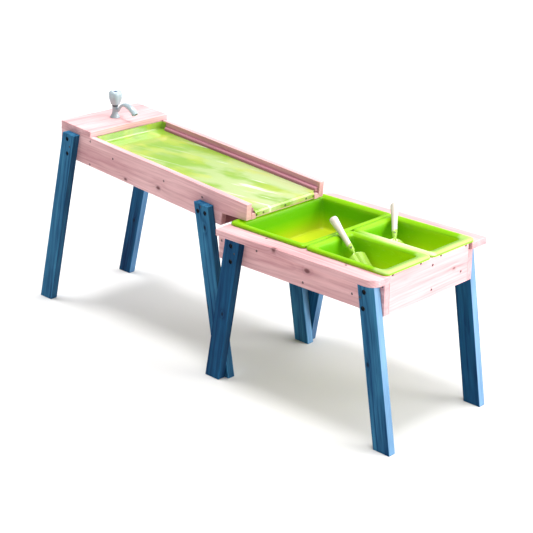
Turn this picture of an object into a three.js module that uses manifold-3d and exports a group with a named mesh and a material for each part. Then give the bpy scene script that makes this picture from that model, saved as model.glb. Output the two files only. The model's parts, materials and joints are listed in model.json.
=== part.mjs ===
// Sand and water table: a low trestle table that carries three plastic tubs, and a sloping
// water chute on its own trestle, whose lip hangs over the first tub. A tap stands on the
// chute's head deck. Millimetres, +Z up, water runs towards +X, the origin is on the floor
// under the middle of the overall length and width.

import * as THREE from 'three';
import { mergeVertices } from 'three/addons/utils/BufferGeometryUtils.js';
import Module from 'manifold-3d';

const wasm = await Module();
wasm.setup();

// ---- Driving dimensions ----

const gap = 0.3;                    // clearance between pieces that touch
const boardThickness = 19;          // aprons, side boards and cross boards

const table = {
  left: 159,                        // left end of the rails
  frameLeft: 115.5,                 // left end of the aprons, under the chute
  length: 580,
  height: 488,                      // top of the rails and of the right end board
  halfWidth: 240,                   // over the rails
  apronHalfWidth: 187,              // over the side aprons
  apronDepth: 92,
  railThickness: 20,
  railWidth: 67,
  railCornerRadius: 32,
  endInset: 8,                      // from the rails' right ends to the right end board
  junction: 291,                    // from the rails' left end to the line between the tubs
};

const chute = {
  headX: -645,                      // head end of the side boards, at their top edge
  headZ: 621,
  tilt: THREE.MathUtils.degToRad(4.8),
  length: 853,
  halfWidth: 160,
  boardDepth: 96,
  notchX: 101.5,                    // the side boards are cut away from here to the low end
  notchZ: 501,
  deckLength: 149.5,
  deckThickness: 18,
  floorTop: -29,                    // liner floor, below the side boards' top edge
};

const leg = { width: 56, thickness: 25 };
const bolt = {
  radius: 4,
  holeRadius: 4.4,
  headRadius: 6,
  headHeight: 5,
  headHoleRadius: 6.6,
  headHoleDepth: 8,
  nutRadius: 6.5,
  nutHeight: 6,
  nutHoleRadius: 7,
  nutHoleDepth: 6.6,
};
const screwHole = { radius: 2.8, depth: 6 };

const tub = {
  rimHeight: 11,                    // above the rails
  rimWidth: 14,
  rimRadius: 15,
  wall: 2.5,
  wallInset: 19,                    // from the rim's outer edge to the wall, on rails and divider
  endInset: 28,                     // the same, at the end boards
  draft: 8,                         // how far a wall leans in, from rim to floor
  floorZ: 402,
  halfSpan: 189,
};

const tool = { handleRadius: 12, handleLength: 91, headLength: 104, bladeWidth: 50 };

const barSides = 12;                // segments round a bolt hole
const roundSides = 24;              // segments round the tap

// ---- Colours ----

const look = {
  pinkWood: { color: 0xe3b3b5, roughness: 0.7, metalness: 0 },
  blueWood: { color: 0x3f6d94, roughness: 0.65, metalness: 0 },
  greenPlastic: { color: 0x8fd414, roughness: 0.25, metalness: 0 },
  tapPlastic: { color: 0xaebfca, roughness: 0.3, metalness: 0 },
  paleWood: { color: 0xf2e2cf, roughness: 0.6, metalness: 0 },
  darkSteel: { color: 0x2b2f36, roughness: 0.4, metalness: 0.9 },
  blackRubber: { color: 0x1c1c1e, roughness: 0.9, metalness: 0 },
  bluePlastic: { color: 0x27427a, roughness: 0.25, metalness: 0 },
};

const model = new THREE.Group();
const chuteFrame = new THREE.Group();
chuteFrame.position.set(chute.headX, 0, chute.headZ);
chuteFrame.rotation.y = chute.tilt;
model.add(chuteFrame);

function addPart(parent, name, geometry, finish) {
  const mesh = new THREE.Mesh(geometry, new THREE.MeshStandardMaterial(look[finish]));
  mesh.name = name;
  parent.add(mesh);
  return mesh;
}

// ---- Solids ----

function solid(geometry) {
  const bare = geometry.clone();
  bare.deleteAttribute('normal');
  bare.deleteAttribute('uv');
  const merged = mergeVertices(bare, 1e-4);
  return new wasm.Manifold(new wasm.Mesh({
    numProp: 3,
    vertProperties: new Float32Array(merged.attributes.position.array),
    triVerts: new Uint32Array(merged.index.array),
  }));
}

function geometryOf(body) {
  const mesh = body.getMesh();
  const geometry = new THREE.BufferGeometry();
  geometry.setAttribute('position', new THREE.BufferAttribute(new Float32Array(mesh.vertProperties), 3));
  geometry.setIndex(new THREE.BufferAttribute(new Uint32Array(mesh.triVerts), 1));
  geometry.computeVertexNormals();
  return geometry;
}

function cut(geometry, tools) {
  let body = solid(geometry);
  for (const toolGeometry of tools) {
    body = body.subtract(solid(toolGeometry));
  }
  return geometryOf(body);
}

function join(geometries) {
  let body = solid(geometries[0]);
  for (const other of geometries.slice(1)) {
    body = body.add(solid(other));
  }
  return geometryOf(body);
}

function box(x0, x1, y0, y1, z0, z1) {
  const geometry = new THREE.BoxGeometry(x1 - x0, y1 - y0, z1 - z0);
  geometry.translate((x0 + x1) / 2, (y0 + y1) / 2, (z0 + z1) / 2);
  return geometry;
}

// A flat outline in XZ, given depth from y0 to y1.
function slabXZ(outline, y0, y1) {
  const shape = new THREE.Shape(outline.map(([x, z]) => new THREE.Vector2(x, z)));
  const geometry = new THREE.ExtrudeGeometry(shape, { depth: y1 - y0, bevelEnabled: false });
  geometry.rotateX(Math.PI / 2);
  geometry.translate(0, y1, 0);
  return geometry;
}

// A flat outline in XY, given depth from z0 to z1.
function slabXY(shape, z0, z1, curveSegments = 8) {
  const geometry = new THREE.ExtrudeGeometry(shape, { depth: z1 - z0, bevelEnabled: false, curveSegments });
  geometry.translate(0, 0, z0);
  return geometry;
}

// A section drawn in YZ, run along X from x0 to x1.
function barYZ(shape, x0, x1, curveSegments = 4) {
  const geometry = new THREE.ExtrudeGeometry(shape, { depth: x1 - x0, bevelEnabled: false, curveSegments });
  geometry.applyMatrix4(new THREE.Matrix4().makeBasis(
    new THREE.Vector3(0, 1, 0),
    new THREE.Vector3(0, 0, 1),
    new THREE.Vector3(1, 0, 0),
  ));
  geometry.translate(x0, 0, 0);
  return geometry;
}

// A round bar along Y, between y0 and y1 in either order.
function roundAlongY(x, z, radius, y0, y1, sides = barSides) {
  const geometry = new THREE.CylinderGeometry(radius, radius, Math.abs(y1 - y0), sides);
  geometry.translate(x, (y0 + y1) / 2, z);
  return geometry;
}

// A turned piece about Z, from [radius, height] points that start and end on the axis.
function turned(profile, sides = roundSides) {
  const geometry = new THREE.LatheGeometry(profile.map(([r, z]) => new THREE.Vector2(r, z)), sides);
  geometry.rotateX(Math.PI / 2);
  return geometry;
}

// Closed surface through a stack of loops that all have the same number of points.
function loft(loops) {
  const count = loops[0].length;
  const positions = loops.flat(2);
  const indices = [];
  for (let k = 0; k + 1 < loops.length; k += 1) {
    for (let i = 0; i < count; i += 1) {
      const j = (i + 1) % count;
      const a = k * count;
      const b = a + count;
      indices.push(a + i, b + i, b + j, a + i, b + j, a + j);
    }
  }
  const last = (loops.length - 1) * count;
  for (let i = 1; i + 1 < count; i += 1) {
    indices.push(0, i, i + 1, last, last + i + 1, last + i);
  }
  const geometry = new THREE.BufferGeometry();
  geometry.setAttribute('position', new THREE.BufferAttribute(new Float32Array(positions), 3));
  geometry.setIndex(indices);
  geometry.computeVertexNormals();
  return geometry;
}

// Rounded rectangle, counter-clockwise seen from above.
function roundedLoop({ x0, x1, y0, y1 }, radius, z, steps = 4) {
  const corners = [
    [x1 - radius, y0 + radius, -90],
    [x1 - radius, y1 - radius, 0],
    [x0 + radius, y1 - radius, 90],
    [x0 + radius, y0 + radius, 180],
  ];
  const points = [];
  for (const [cx, cy, start] of corners) {
    for (let i = 0; i <= steps; i += 1) {
      const angle = THREE.MathUtils.degToRad(start + (90 * i) / steps);
      points.push([cx + radius * Math.cos(angle), cy + radius * Math.sin(angle), z]);
    }
  }
  return points;
}

// ---- Legs and their bolts ----

// Each leg leans in the XZ plane. Its foot is cut level, its top is cut to topSlope.
// innerY is the face of the board that it is bolted to, and bolts are [x, z] places.
const chuteSlope = -Math.tan(chute.tilt);
const legs = {
  chute_head_leg: {
    footX: -757, topX: -577, topZ: 609.5, topSlope: chuteSlope, innerY: chute.halfWidth,
    bolts: [[-583.4, 592.5], [-587.6, 544.2]], screw: [-573.6, 568.5],
  },
  chute_lip_leg: {
    footX: 119, topX: 38, topZ: 519.5, topSlope: chuteSlope, innerY: chute.halfWidth,
    bolts: [[26, 496], [56, 495.5]], screw: [37, 511],
  },
  table_left_leg: {
    footX: 103, topX: 199, topZ: 467.7, topSlope: 0, innerY: table.apronHalfWidth,
    bolts: [[191.5, 437.5], [189, 390]], screw: [204, 417],
  },
  table_right_leg: {
    footX: 758, topX: 686, topZ: 467.7, topSlope: 0, innerY: table.apronHalfWidth,
    bolts: [[683, 438.5], [681.5, 392.3]], screw: [670, 421],
  },
};

function legOutline({ footX, topX, topZ, topSlope }) {
  const lean = (topX - footX) / topZ;
  const halfWidth = (leg.width / 2) * Math.hypot(1, lean);
  const topCorner = (side) => {
    const startX = footX + side * halfWidth;
    const z = (topZ + topSlope * (startX - topX)) / (1 - topSlope * lean);
    return [startX + lean * z, z];
  };
  return [[footX - halfWidth, 0], [footX + halfWidth, 0], topCorner(1), topCorner(-1)];
}

const sides = { near: -1, far: 1 };

function addLegs() {
  for (const [name, spec] of Object.entries(legs)) {
    for (const [sideName, side] of Object.entries(sides)) {
      const inner = side * (spec.innerY + gap);
      const outer = side * (spec.innerY + gap + leg.thickness);
      const blank = slabXZ(legOutline(spec), Math.min(inner, outer), Math.max(inner, outer));
      const holes = spec.bolts.flatMap(([x, z]) => [
        roundAlongY(x, z, bolt.holeRadius, inner - side, outer + side),
        roundAlongY(x, z, bolt.headHoleRadius, outer - side * bolt.headHoleDepth, outer + side),
      ]);
      const [screwX, screwZ] = spec.screw;
      holes.push(roundAlongY(screwX, screwZ, screwHole.radius, outer - side * screwHole.depth, outer + side, 8));
      addPart(model, `${sideName}_${name}`, cut(blank, holes), 'blueWood');
      spec.bolts.forEach(([x, z], index) => {
        addPart(model, `${sideName}_${name}_bolt_${index + 1}`, legBolt(x, z, side, spec.innerY), 'darkSteel');
      });
    }
  }
}

// A bolt with a round head in the leg's counterbore and a round nut sunk into the board.
function legBolt(x, z, side, boardY) {
  const headFace = boardY + gap + leg.thickness - bolt.headHoleDepth + gap + bolt.headHeight;
  const headSeat = headFace - bolt.headHeight;
  const nutSeat = boardY - boardThickness + bolt.nutHoleDepth - gap;
  const nutFace = nutSeat - bolt.nutHeight;
  const geometry = turned([
    [0, nutFace],
    [bolt.nutRadius, nutFace],
    [bolt.nutRadius, nutSeat],
    [bolt.radius, nutSeat],
    [bolt.radius, headSeat],
    [bolt.headRadius, headSeat],
    [bolt.headRadius, headFace - 1.5],
    [bolt.headRadius - 1.8, headFace],
    [0, headFace],
  ], barSides);
  // The turned axis lies along +Y for the far side and along -Y for the near side.
  geometry.rotateX(side > 0 ? -Math.PI / 2 : Math.PI / 2);
  geometry.translate(x, 0, z);
  return geometry;
}

// Holes that take a leg's bolts through the board behind it, with a pocket for each nut.
function boardBoltHoles(spec, side, toLocal = (x, z) => [x, z]) {
  const outer = side * spec.innerY;
  const inner = side * (spec.innerY - boardThickness);
  return spec.bolts.flatMap(([x, z]) => {
    const [localX, localZ] = toLocal(x, z);
    return [
      roundAlongY(localX, localZ, bolt.holeRadius, inner - side, outer + side),
      roundAlongY(localX, localZ, bolt.nutHoleRadius, inner - side, inner + side * bolt.nutHoleDepth),
    ];
  });
}

// ---- Table ----

const railBottom = table.height - table.railThickness;
const apronBottom = railBottom - table.apronDepth;
const tableRight = table.left + table.length;
const endLeft = table.frameLeft;
const endRight = tableRight - table.endInset;
const apronInner = table.apronHalfWidth - boardThickness;
const railInner = table.halfWidth - table.railWidth;
const junctionX = table.left + table.junction;

function addTableFrame() {
  // Rail: one outer corner is rounded. The far rail is the near rail turned half round.
  const halfLength = table.length / 2;
  const radius = table.railCornerRadius;
  const outline = new THREE.Shape();
  outline.moveTo(-halfLength, -table.halfWidth);
  outline.lineTo(halfLength - radius, -table.halfWidth);
  outline.absarc(halfLength - radius, -table.halfWidth + radius, radius, -Math.PI / 2, 0, false);
  outline.lineTo(halfLength, -railInner);
  outline.lineTo(-halfLength, -railInner);
  for (const [sideName, turn] of [['near', 0], ['far', Math.PI]]) {
    const rail = slabXY(outline, railBottom + gap, table.height);
    rail.rotateZ(turn);
    rail.translate(table.left + halfLength, 0, 0);
    addPart(model, `${sideName}_rail`, rail, 'pinkWood');
  }

  for (const [sideName, side] of Object.entries(sides)) {
    const outer = side * table.apronHalfWidth;
    const inner = side * apronInner;
    const blank = box(endLeft, endRight, Math.min(inner, outer), Math.max(inner, outer), apronBottom, railBottom);
    const holes = [
      ...boardBoltHoles(legs.table_left_leg, side),
      ...boardBoltHoles(legs.table_right_leg, side),
    ];
    addPart(model, `${sideName}_apron`, cut(blank, holes), 'pinkWood');
  }

  // End boards stand between the aprons. The right one's upper part rises between the rails.
  const endHalf = apronInner - gap;
  addPart(model, 'left_end_board',
    box(endLeft, endLeft + boardThickness, -endHalf, endHalf, apronBottom, railBottom), 'pinkWood');
  addPart(model, 'right_end_board',
    box(endRight - boardThickness, endRight, -endHalf, endHalf, apronBottom, table.height), 'pinkWood');

  // The cross board carries the rims where the tubs meet, and the divider runs from it to the end.
  const crossLeft = junctionX - boardThickness / 2;
  const crossRight = junctionX + boardThickness / 2;
  const supportBottom = apronBottom + 12;
  addPart(model, 'tub_cross_board',
    box(crossLeft, crossRight, -endHalf, endHalf, supportBottom, table.height), 'pinkWood');
  addPart(model, 'tub_divider_board',
    box(crossRight + gap, endRight - boardThickness - gap, -boardThickness / 2, boardThickness / 2,
      supportBottom, table.height), 'pinkWood');
}

// ---- Tubs ----

// area is the rim's outer rectangle. insets says how far in the wall stands on each side.
function tubGeometry(area, insets) {
  const shrink = (amount) => ({
    x0: area.x0 + amount, x1: area.x1 - amount, y0: area.y0 + amount, y1: area.y1 - amount,
  });
  const wallArea = (extra) => ({
    x0: area.x0 + insets.left + extra,
    x1: area.x1 - insets.right - extra,
    y0: area.y0 + insets.near + extra,
    y1: area.y1 - insets.far - extra,
  });
  const rimTop = table.height + tub.rimHeight;
  const rimFoot = table.height + gap;
  const radius = tub.rimRadius;
  const underRim = rimTop - 4;
  return loft([
    roundedLoop(wallArea(tub.wall + tub.draft + 6), radius, tub.floorZ),
    roundedLoop(wallArea(tub.wall + tub.draft), radius, tub.floorZ + 6),
    roundedLoop(wallArea(tub.wall), radius, rimTop - 6),
    roundedLoop(shrink(tub.rimWidth), radius, rimTop),
    roundedLoop(shrink(3), radius, rimTop),
    roundedLoop(area, radius, rimTop - 3),
    roundedLoop(area, radius, rimFoot),
    roundedLoop(shrink(tub.wall), radius, rimFoot),
    roundedLoop(shrink(tub.wall), radius, underRim),
    roundedLoop(wallArea(0), radius, underRim - 4),
    roundedLoop(wallArea(tub.draft), radius, tub.floorZ + 6),
    roundedLoop(wallArea(tub.draft + 6), radius, tub.floorZ - tub.wall),
  ]);
}

const smallTubArea = {
  x0: junctionX + 1,
  x1: tableRight - 2,
};

function addTubs() {
  const big = { x0: table.left + 2, x1: junctionX - 1, y0: -tub.halfSpan, y1: tub.halfSpan };
  addPart(model, 'big_tub', tubGeometry(big, {
    left: tub.endInset, right: tub.wallInset, near: tub.wallInset + 2.5, far: tub.wallInset + 2.5,
  }), 'greenPlastic');
  for (const [sideName, side] of Object.entries(sides)) {
    const outer = side * tub.halfSpan;
    const area = { ...smallTubArea, y0: Math.min(side, outer), y1: Math.max(side, outer) };
    const insets = { left: tub.wallInset, right: tub.endInset, near: tub.wallInset, far: tub.wallInset };
    insets[sideName] = tub.wallInset + 2.5;
    addPart(model, `${sideName}_tub`, tubGeometry(area, insets), 'greenPlastic');
  }
}

// ---- Chute, drawn level in its own frame: X runs down the slope, Z = 0 is the boards' top edge ----

const boardInner = chute.halfWidth - boardThickness;
const linerThickness = 2.5;
const ledger = { width: 18, top: chute.floorTop - linerThickness - gap, height: 18 };
const clamp = { width: 13, height: 13, start: 172, end: 848 };
const headWall = chute.deckLength - 2.5;      // back face of the liner's head wall
const lipBoardEnd = chute.length - 5;

function toChute(x, z) {
  const dx = x - chute.headX;
  const dz = z - chute.headZ;
  const cos = Math.cos(chute.tilt);
  const sin = Math.sin(chute.tilt);
  return [dx * cos - dz * sin, dx * sin + dz * cos];
}

// An upright bar with a half-round top, between two Y values.
function archedSection(y0, y1, bottom, top) {
  const radius = (y1 - y0) / 2;
  const rise = Math.min(radius, top - bottom);
  const shape = new THREE.Shape();
  shape.moveTo(y0, bottom);
  shape.lineTo(y1, bottom);
  shape.lineTo(y1, top - rise);
  shape.absellipse((y0 + y1) / 2, top - rise, radius, rise, 0, Math.PI, false, 0);
  shape.lineTo(y0, bottom);
  return shape;
}

function addChuteBoards() {
  const depth = chute.boardDepth;
  const [notchTopX, notchTopZ] = toChute(chute.notchX, chute.notchZ);
  const slope = Math.tan(chute.tilt);
  const lowEndZ = notchTopZ + (chute.length - notchTopX) * slope;
  const notchFootX = notchTopX - (depth + notchTopZ) * slope;
  const outline = [
    [0, 0], [0, -depth], [notchFootX, -depth], [notchTopX, notchTopZ], [chute.length, lowEndZ], [chute.length, 0],
  ];
  for (const [sideName, side] of Object.entries(sides)) {
    const outer = side * chute.halfWidth;
    const inner = side * boardInner;
    const blank = slabXZ(outline, Math.min(inner, outer), Math.max(inner, outer));
    const holes = [
      ...boardBoltHoles(legs.chute_head_leg, side, toChute),
      ...boardBoltHoles(legs.chute_lip_leg, side, toChute),
    ];
    addPart(chuteFrame, `${sideName}_chute_board`, cut(blank, holes), 'pinkWood');

    const ledgerOuter = boardInner - gap;
    const ledgerEdges = [side * (ledgerOuter - ledger.width), side * ledgerOuter].sort((a, b) => a - b);
    addPart(chuteFrame, `${sideName}_ledger`,
      barYZ(archedSection(...ledgerEdges, ledger.top - ledger.height, ledger.top), headWall + 8, chute.length),
      'pinkWood');

    const clampEdges = [side * (boardInner - gap - clamp.width), side * (boardInner - gap)].sort((a, b) => a - b);
    addPart(chuteFrame, `${sideName}_clamp_batten`,
      barYZ(archedSection(...clampEdges, chute.floorTop + gap, chute.floorTop + gap + clamp.height),
        clamp.start, clamp.end),
      'pinkWood');
  }

  const between = boardInner - gap;
  addPart(chuteFrame, 'head_board',
    box(0, boardThickness, -between, between, -depth + 8, -gap), 'pinkWood');
  addPart(chuteFrame, 'bulkhead_board',
    box(headWall - gap - boardThickness, headWall - gap, -between, between, -depth + 8, -gap), 'pinkWood');

  // The slat, the lower bulkhead and the lip board lie level with the tops of the ledgers and
  // carry the liner. The bulkhead is narrower above, where it stands between the ledgers.
  const slatHalf = between - ledger.width - gap;
  const slatTop = ledger.top;
  const slatCentre = 440;
  addPart(chuteFrame, 'upper_slat',
    box(slatCentre - 30, slatCentre + 30, -slatHalf, slatHalf, slatTop - 12, slatTop), 'pinkWood');
  const shoulder = ledger.top - ledger.height - gap;
  const profile = new THREE.Shape();
  profile.moveTo(-between, -depth + gap);
  profile.lineTo(between, -depth + gap);
  profile.lineTo(between, shoulder);
  profile.lineTo(slatHalf, shoulder);
  profile.lineTo(slatHalf, slatTop);
  profile.lineTo(-slatHalf, slatTop);
  profile.lineTo(-slatHalf, shoulder);
  profile.lineTo(-between, shoulder);
  addPart(chuteFrame, 'lower_bulkhead_board',
    barYZ(profile, notchFootX - gap - boardThickness, notchFootX - gap), 'pinkWood');
  addPart(chuteFrame, 'lip_board',
    box(lipBoardEnd - boardThickness, lipBoardEnd, -slatHalf, slatHalf, slatTop - ledger.height, slatTop), 'pinkWood');
}

function addDeck() {
  const seam = chute.deckLength / 2;
  const pieces = { head_deck_board: [0, seam - 0.2], front_deck_board: [seam + 0.2, chute.deckLength] };
  for (const [name, [x0, x1]] of Object.entries(pieces)) {
    const blank = box(x0, x1, -chute.halfWidth, chute.halfWidth, 0, chute.deckThickness);
    const hole = turned([[0, -1], [tap.tailRadius + 0.6, -1], [tap.tailRadius + 0.6, 30], [0, 30]]);
    hole.translate(tap.x, 0, 0);
    addPart(chuteFrame, name, cut(blank, [hole]), 'pinkWood');
  }
}

function addLiner() {
  const half = boardInner - gap;
  const lipHalf = half - ledger.width - gap;
  const top = chute.floorTop;
  const bottom = top - linerThickness;
  const back = headWall;
  const front = headWall + linerThickness;
  const wallTop = -1;
  const lipBack = lipBoardEnd + gap;
  const bend = 6;
  const bendSteps = 4;
  const tray = slabXZ([
    [back, wallTop], [back, bottom], [lipBack - bend + linerThickness, bottom],
    [lipBack - bend + linerThickness, top], [front + 5, top], [front, top + 5], [front, wallTop],
  ], -half, half);

  // The lip turns down over the end of the lip board.
  const lipOutline = [[lipBack - 40, bottom], [lipBack, bottom], [lipBack, ledger.top - 14]];
  const lipFace = lipBack + linerThickness;
  lipOutline.push([lipFace, ledger.top - 14]);
  for (let i = 0; i <= bendSteps; i += 1) {
    const angle = ((Math.PI / 2) * i) / bendSteps;
    lipOutline.push([lipFace - bend + bend * Math.cos(angle), top - bend + bend * Math.sin(angle)]);
  }
  lipOutline.push([lipBack - 40, top]);
  const lip = slabXZ(lipOutline, -lipHalf, lipHalf);

  // Short returns at the head wall keep splashes off the side boards.
  const returnLength = 20;
  const returns = Object.values(sides).map((side) => {
    const edges = [side * (half - linerThickness), side * half].sort((a, b) => a - b);
    return box(back, back + returnLength, ...edges, bottom, wallTop);
  });
  addPart(chuteFrame, 'chute_liner', join([tray, lip, ...returns]), 'greenPlastic');
}

// ---- Tap, on the middle of the deck ----

const tap = {
  x: chute.deckLength / 2,
  tailRadius: 8,
  barrelRadius: 9.5,
  barrelTop: 40,
  boreRadius: 6.4,
  spoutReach: 98,
};

function addTap() {
  const frame = new THREE.Group();
  frame.position.set(tap.x, 0, chute.deckThickness + gap);
  chuteFrame.add(frame);

  // Body: a flared foot, a barrel with a bore for the spindle, and a threaded tail below the deck.
  const body = turned([
    [3.2, -44], [tap.tailRadius, -44], [tap.tailRadius, 0], [16, 0], [15.6, 3], [13, 8], [10.6, 15],
    [tap.barrelRadius, 22], [tap.barrelRadius, tap.barrelTop - 1], [tap.barrelRadius - 1, tap.barrelTop],
    [tap.boreRadius, tap.barrelTop], [tap.boreRadius, 14], [3.2, 14], [3.2, -44],
  ]);
  const waterway = new THREE.CylinderGeometry(2.5, 2.5, 14, barSides);
  waterway.rotateZ(Math.PI / 2);
  waterway.translate(11, 0, 27);
  const boss = new THREE.CylinderGeometry(6.6, 6.6, 7.6, barSides);
  boss.rotateZ(Math.PI / 2);
  boss.translate(11, 0, 27);
  const bossOutsideBore = solid(boss).subtract(solid(boreSpace()));
  addPart(frame, 'tap_body', geometryOf(solid(body).add(bossOutsideBore).subtract(solid(waterway))), 'tapPlastic');

  // Spout: a slim neck that rises steeply, arches over and widens towards its mouth, bored through.
  const arch = new THREE.CatmullRomCurve3([
    new THREE.Vector3(15.1, 0, 27), new THREE.Vector3(20.5, 0, 31.5), new THREE.Vector3(27, 0, 41),
    new THREE.Vector3(36, 0, 48.5), new THREE.Vector3(50, 0, 52.3), new THREE.Vector3(65, 0, 51.3),
    new THREE.Vector3(79, 0, 47), new THREE.Vector3(tap.spoutReach - 8, 0, 40.5),
    new THREE.Vector3(tap.spoutReach - 1, 0, 33),
  ]);
  addPart(frame, 'tap_spout', spoutGeometry(arch), 'tapPlastic');

  const knobBottom = tap.barrelTop + 3;
  const knobTop = 88;
  addPart(frame, 'tap_knob', knobGeometry(knobBottom, knobTop), 'tapPlastic');
  addPart(frame, 'knob_index_cap', turned([
    [0, knobTop - 6.7], [6.6, knobTop - 6.7], [6.6, knobTop - 4.2], [5.6, knobTop - 3.4], [0, knobTop - 3],
  ]), 'bluePlastic');
  addPart(frame, 'tap_spindle', turned([
    [0, 31], [5.6, 31], [5.6, tap.barrelTop - 1], [4.5, tap.barrelTop], [4.5, knobTop - 12], [0, knobTop - 12],
  ]), 'darkSteel');
  addPart(frame, 'tap_washer', turned([
    [tap.tailRadius + gap, -chute.deckThickness - 3.5], [17, -chute.deckThickness - 3.5],
    [17, -chute.deckThickness - 2 * gap], [tap.tailRadius + gap, -chute.deckThickness - 2 * gap],
    [tap.tailRadius + gap, -chute.deckThickness - 3.5],
  ]), 'blackRubber');
  addPart(frame, 'tap_lock_nut', lockNut(-chute.deckThickness - 4), 'tapPlastic');
}

// The space inside the barrel.
function boreSpace() {
  return turned([[0, 14], [tap.boreRadius, 14], [tap.boreRadius, tap.barrelTop], [0, tap.barrelTop]]);
}

function spoutGeometry(arch) {
  const steps = 18;
  const outer = [];
  const inner = [];
  for (let i = 0; i <= steps; i += 1) {
    const t = i / steps;
    const point = arch.getPointAt(t);
    // The root sits flat against the body's boss.
    const tangent = i === 0 ? new THREE.Vector3(1, 0, 0) : arch.getTangentAt(t);
    const normal = new THREE.Vector3(-tangent.z, 0, tangent.x);
    const widen = THREE.MathUtils.smoothstep(t, 0.22, 0.95);
    const neck = THREE.MathUtils.smoothstep(t, 0, 0.15);
    const ring = (radius) => {
      const loop = [];
      for (let s = 0; s < barSides; s += 1) {
        const angle = (2 * Math.PI * s) / barSides;
        const across = radius * Math.cos(angle);
        const aside = radius * Math.sin(angle);
        loop.push([point.x + normal.x * across, aside, point.z + normal.z * across]);
      }
      return loop;
    };
    const radius = 6 - 0.8 * neck + 5.8 * widen;
    outer.push(ring(radius));
    inner.push(ring(radius - 2));
  }
  // Down the bore from the mouth, then back along the outside.
  const loops = [...inner].reverse();
  return tubeFrom([...outer, ...loops]);
}

// Closed surface through loops, whose last loop joins the first again.
function tubeFrom(loops) {
  const count = loops[0].length;
  const indices = [];
  for (let k = 0; k < loops.length; k += 1) {
    for (let i = 0; i < count; i += 1) {
      const j = (i + 1) % count;
      const a = k * count;
      const b = ((k + 1) % loops.length) * count;
      indices.push(a + i, b + i, b + j, a + i, b + j, a + j);
    }
  }
  const geometry = new THREE.BufferGeometry();
  geometry.setAttribute('position', new THREE.BufferAttribute(new Float32Array(loops.flat(2)), 3));
  geometry.setIndex(indices);
  geometry.computeVertexNormals();
  return geometry;
}

// A bulbous grip, wider at its top, with finger flutes, a socket for the spindle and a cap recess.
function knobGeometry(bottom, top) {
  const grip = turned([
    [0, bottom], [12.5, bottom], [14.6, bottom + 1.5], [17, bottom + 7], [20.3, bottom + 17],
    [21.6, bottom + 27], [21.2, bottom + 35], [19, bottom + 41], [15.5, top - 1], [12.5, top],
    [9, top], [7.4, top - 1.5], [7, top - 7], [0, top - 7],
  ]);
  const cutters = [turned([[0, bottom - 1], [4.8, bottom - 1], [4.8, top - 11.5], [0, top - 11.5]], barSides)];
  const flutes = 6;
  for (let i = 0; i < flutes; i += 1) {
    const flute = new THREE.CylinderGeometry(5, 3.4, 30, 8);
    flute.rotateX(Math.PI / 2);
    flute.translate(24.5, 0, bottom + 20);
    flute.rotateZ((2 * Math.PI * (i + 0.5)) / flutes);
    cutters.push(flute);
  }
  return cut(grip, cutters);
}

function lockNut(top) {
  const hexagon = new THREE.Shape();
  for (let i = 0; i < 6; i += 1) {
    const angle = (Math.PI / 3) * i;
    const place = [14 * Math.cos(angle), 14 * Math.sin(angle)];
    if (i === 0) {
      hexagon.moveTo(...place);
    } else {
      hexagon.lineTo(...place);
    }
  }
  hexagon.holes.push(new THREE.Path().absarc(0, 0, tap.tailRadius + gap, 0, 2 * Math.PI, true));
  return slabXY(hexagon, top - 7, top, 10);
}

// ---- Toy shovels that stand in the small tubs ----

// Each is drawn along its own axis, handle up, with Z = 0 where handle and blade socket meet.
// lower is that place, upper the handle's top, and across is the way the blade is wide.
const tools = {
  near: { lower: [499.5, -61.5, 480.4], upper: [433.9, -59.3, 544.5], across: [0.71, 0.7, 0] },
  far: { lower: [502.9, 128.3, 474.3], upper: [456.8, 181.2, 531.3], across: [0.71, 0.7, 0] },
};

function handleGeometry() {
  // Slim at the socket and swelling to a round end.
  const radius = tool.handleRadius;
  const length = tool.handleLength;
  return turned([
    [0, -16], [5.4, -16], [5.4, 0], [radius - 4.4, 0.2], [radius - 3.8, 2], [radius - 3.7, 24],
    [radius - 2.7, length * 0.5], [radius - 0.8, length * 0.77], [radius, length - 11],
    [radius - 0.8, length - 4.5], [radius - 4.4, length - 0.6], [0, length],
  ], 16);
}

function bladeGeometry() {
  // Blade: a shallow scoop with round shoulders and a round tip.
  const half = tool.bladeWidth / 2;
  const outline = new THREE.Shape();
  outline.moveTo(-half, -48);
  outline.absarc(-half + 10, -38, 10, Math.PI, Math.PI / 2, true);
  outline.lineTo(half - 10, -28);
  outline.absarc(half - 10, -38, 10, Math.PI / 2, 0, true);
  outline.lineTo(half - 2, -tool.headLength + 24);
  outline.absellipse(0, -tool.headLength + 24, half - 2, 24, 0, -Math.PI, true, 0);
  outline.lineTo(-half, -48);
  const plate = new THREE.ExtrudeGeometry(outline, { depth: 3, bevelEnabled: false, curveSegments: 5 });
  const scoop = solid(plate).refineToLength(9);
  const bowed = scoop.warp((point) => {
    const [x, y, z] = point;
    const bow = 9 * (x / half) ** 2;
    point[0] = x;
    point[1] = 1.5 - z - 7 + bow;
    point[2] = y;
  });
  const socket = turned([
    [0, -40], [3.4, -40], [3.8, -27], [7.2, -17.5], [8, -1], [8, -0.2], [5.8, -0.2], [5.8, -16.4], [0, -16.4],
  ], 16);
  const rib = slabXZ([[-4, -62], [4, -62], [6, -28], [-6, -28]], -8, -2);
  return geometryOf(bowed.add(solid(socket)).add(solid(rib)));
}

function addTools() {
  for (const [sideName, { lower, upper, across }] of Object.entries(tools)) {
    const up = new THREE.Vector3(...upper).sub(new THREE.Vector3(...lower)).normalize();
    const behind = up.clone().cross(new THREE.Vector3(...across)).normalize();
    const aside = behind.clone().cross(up);
    const frame = new THREE.Group();
    frame.position.set(...lower);
    frame.quaternion.setFromRotationMatrix(new THREE.Matrix4().makeBasis(aside, behind, up));
    model.add(frame);
    addPart(frame, `${sideName}_tool_handle`, handleGeometry(), 'paleWood');
    addPart(frame, `${sideName}_tool_blade`, bladeGeometry(), 'greenPlastic');
  }
}

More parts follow.
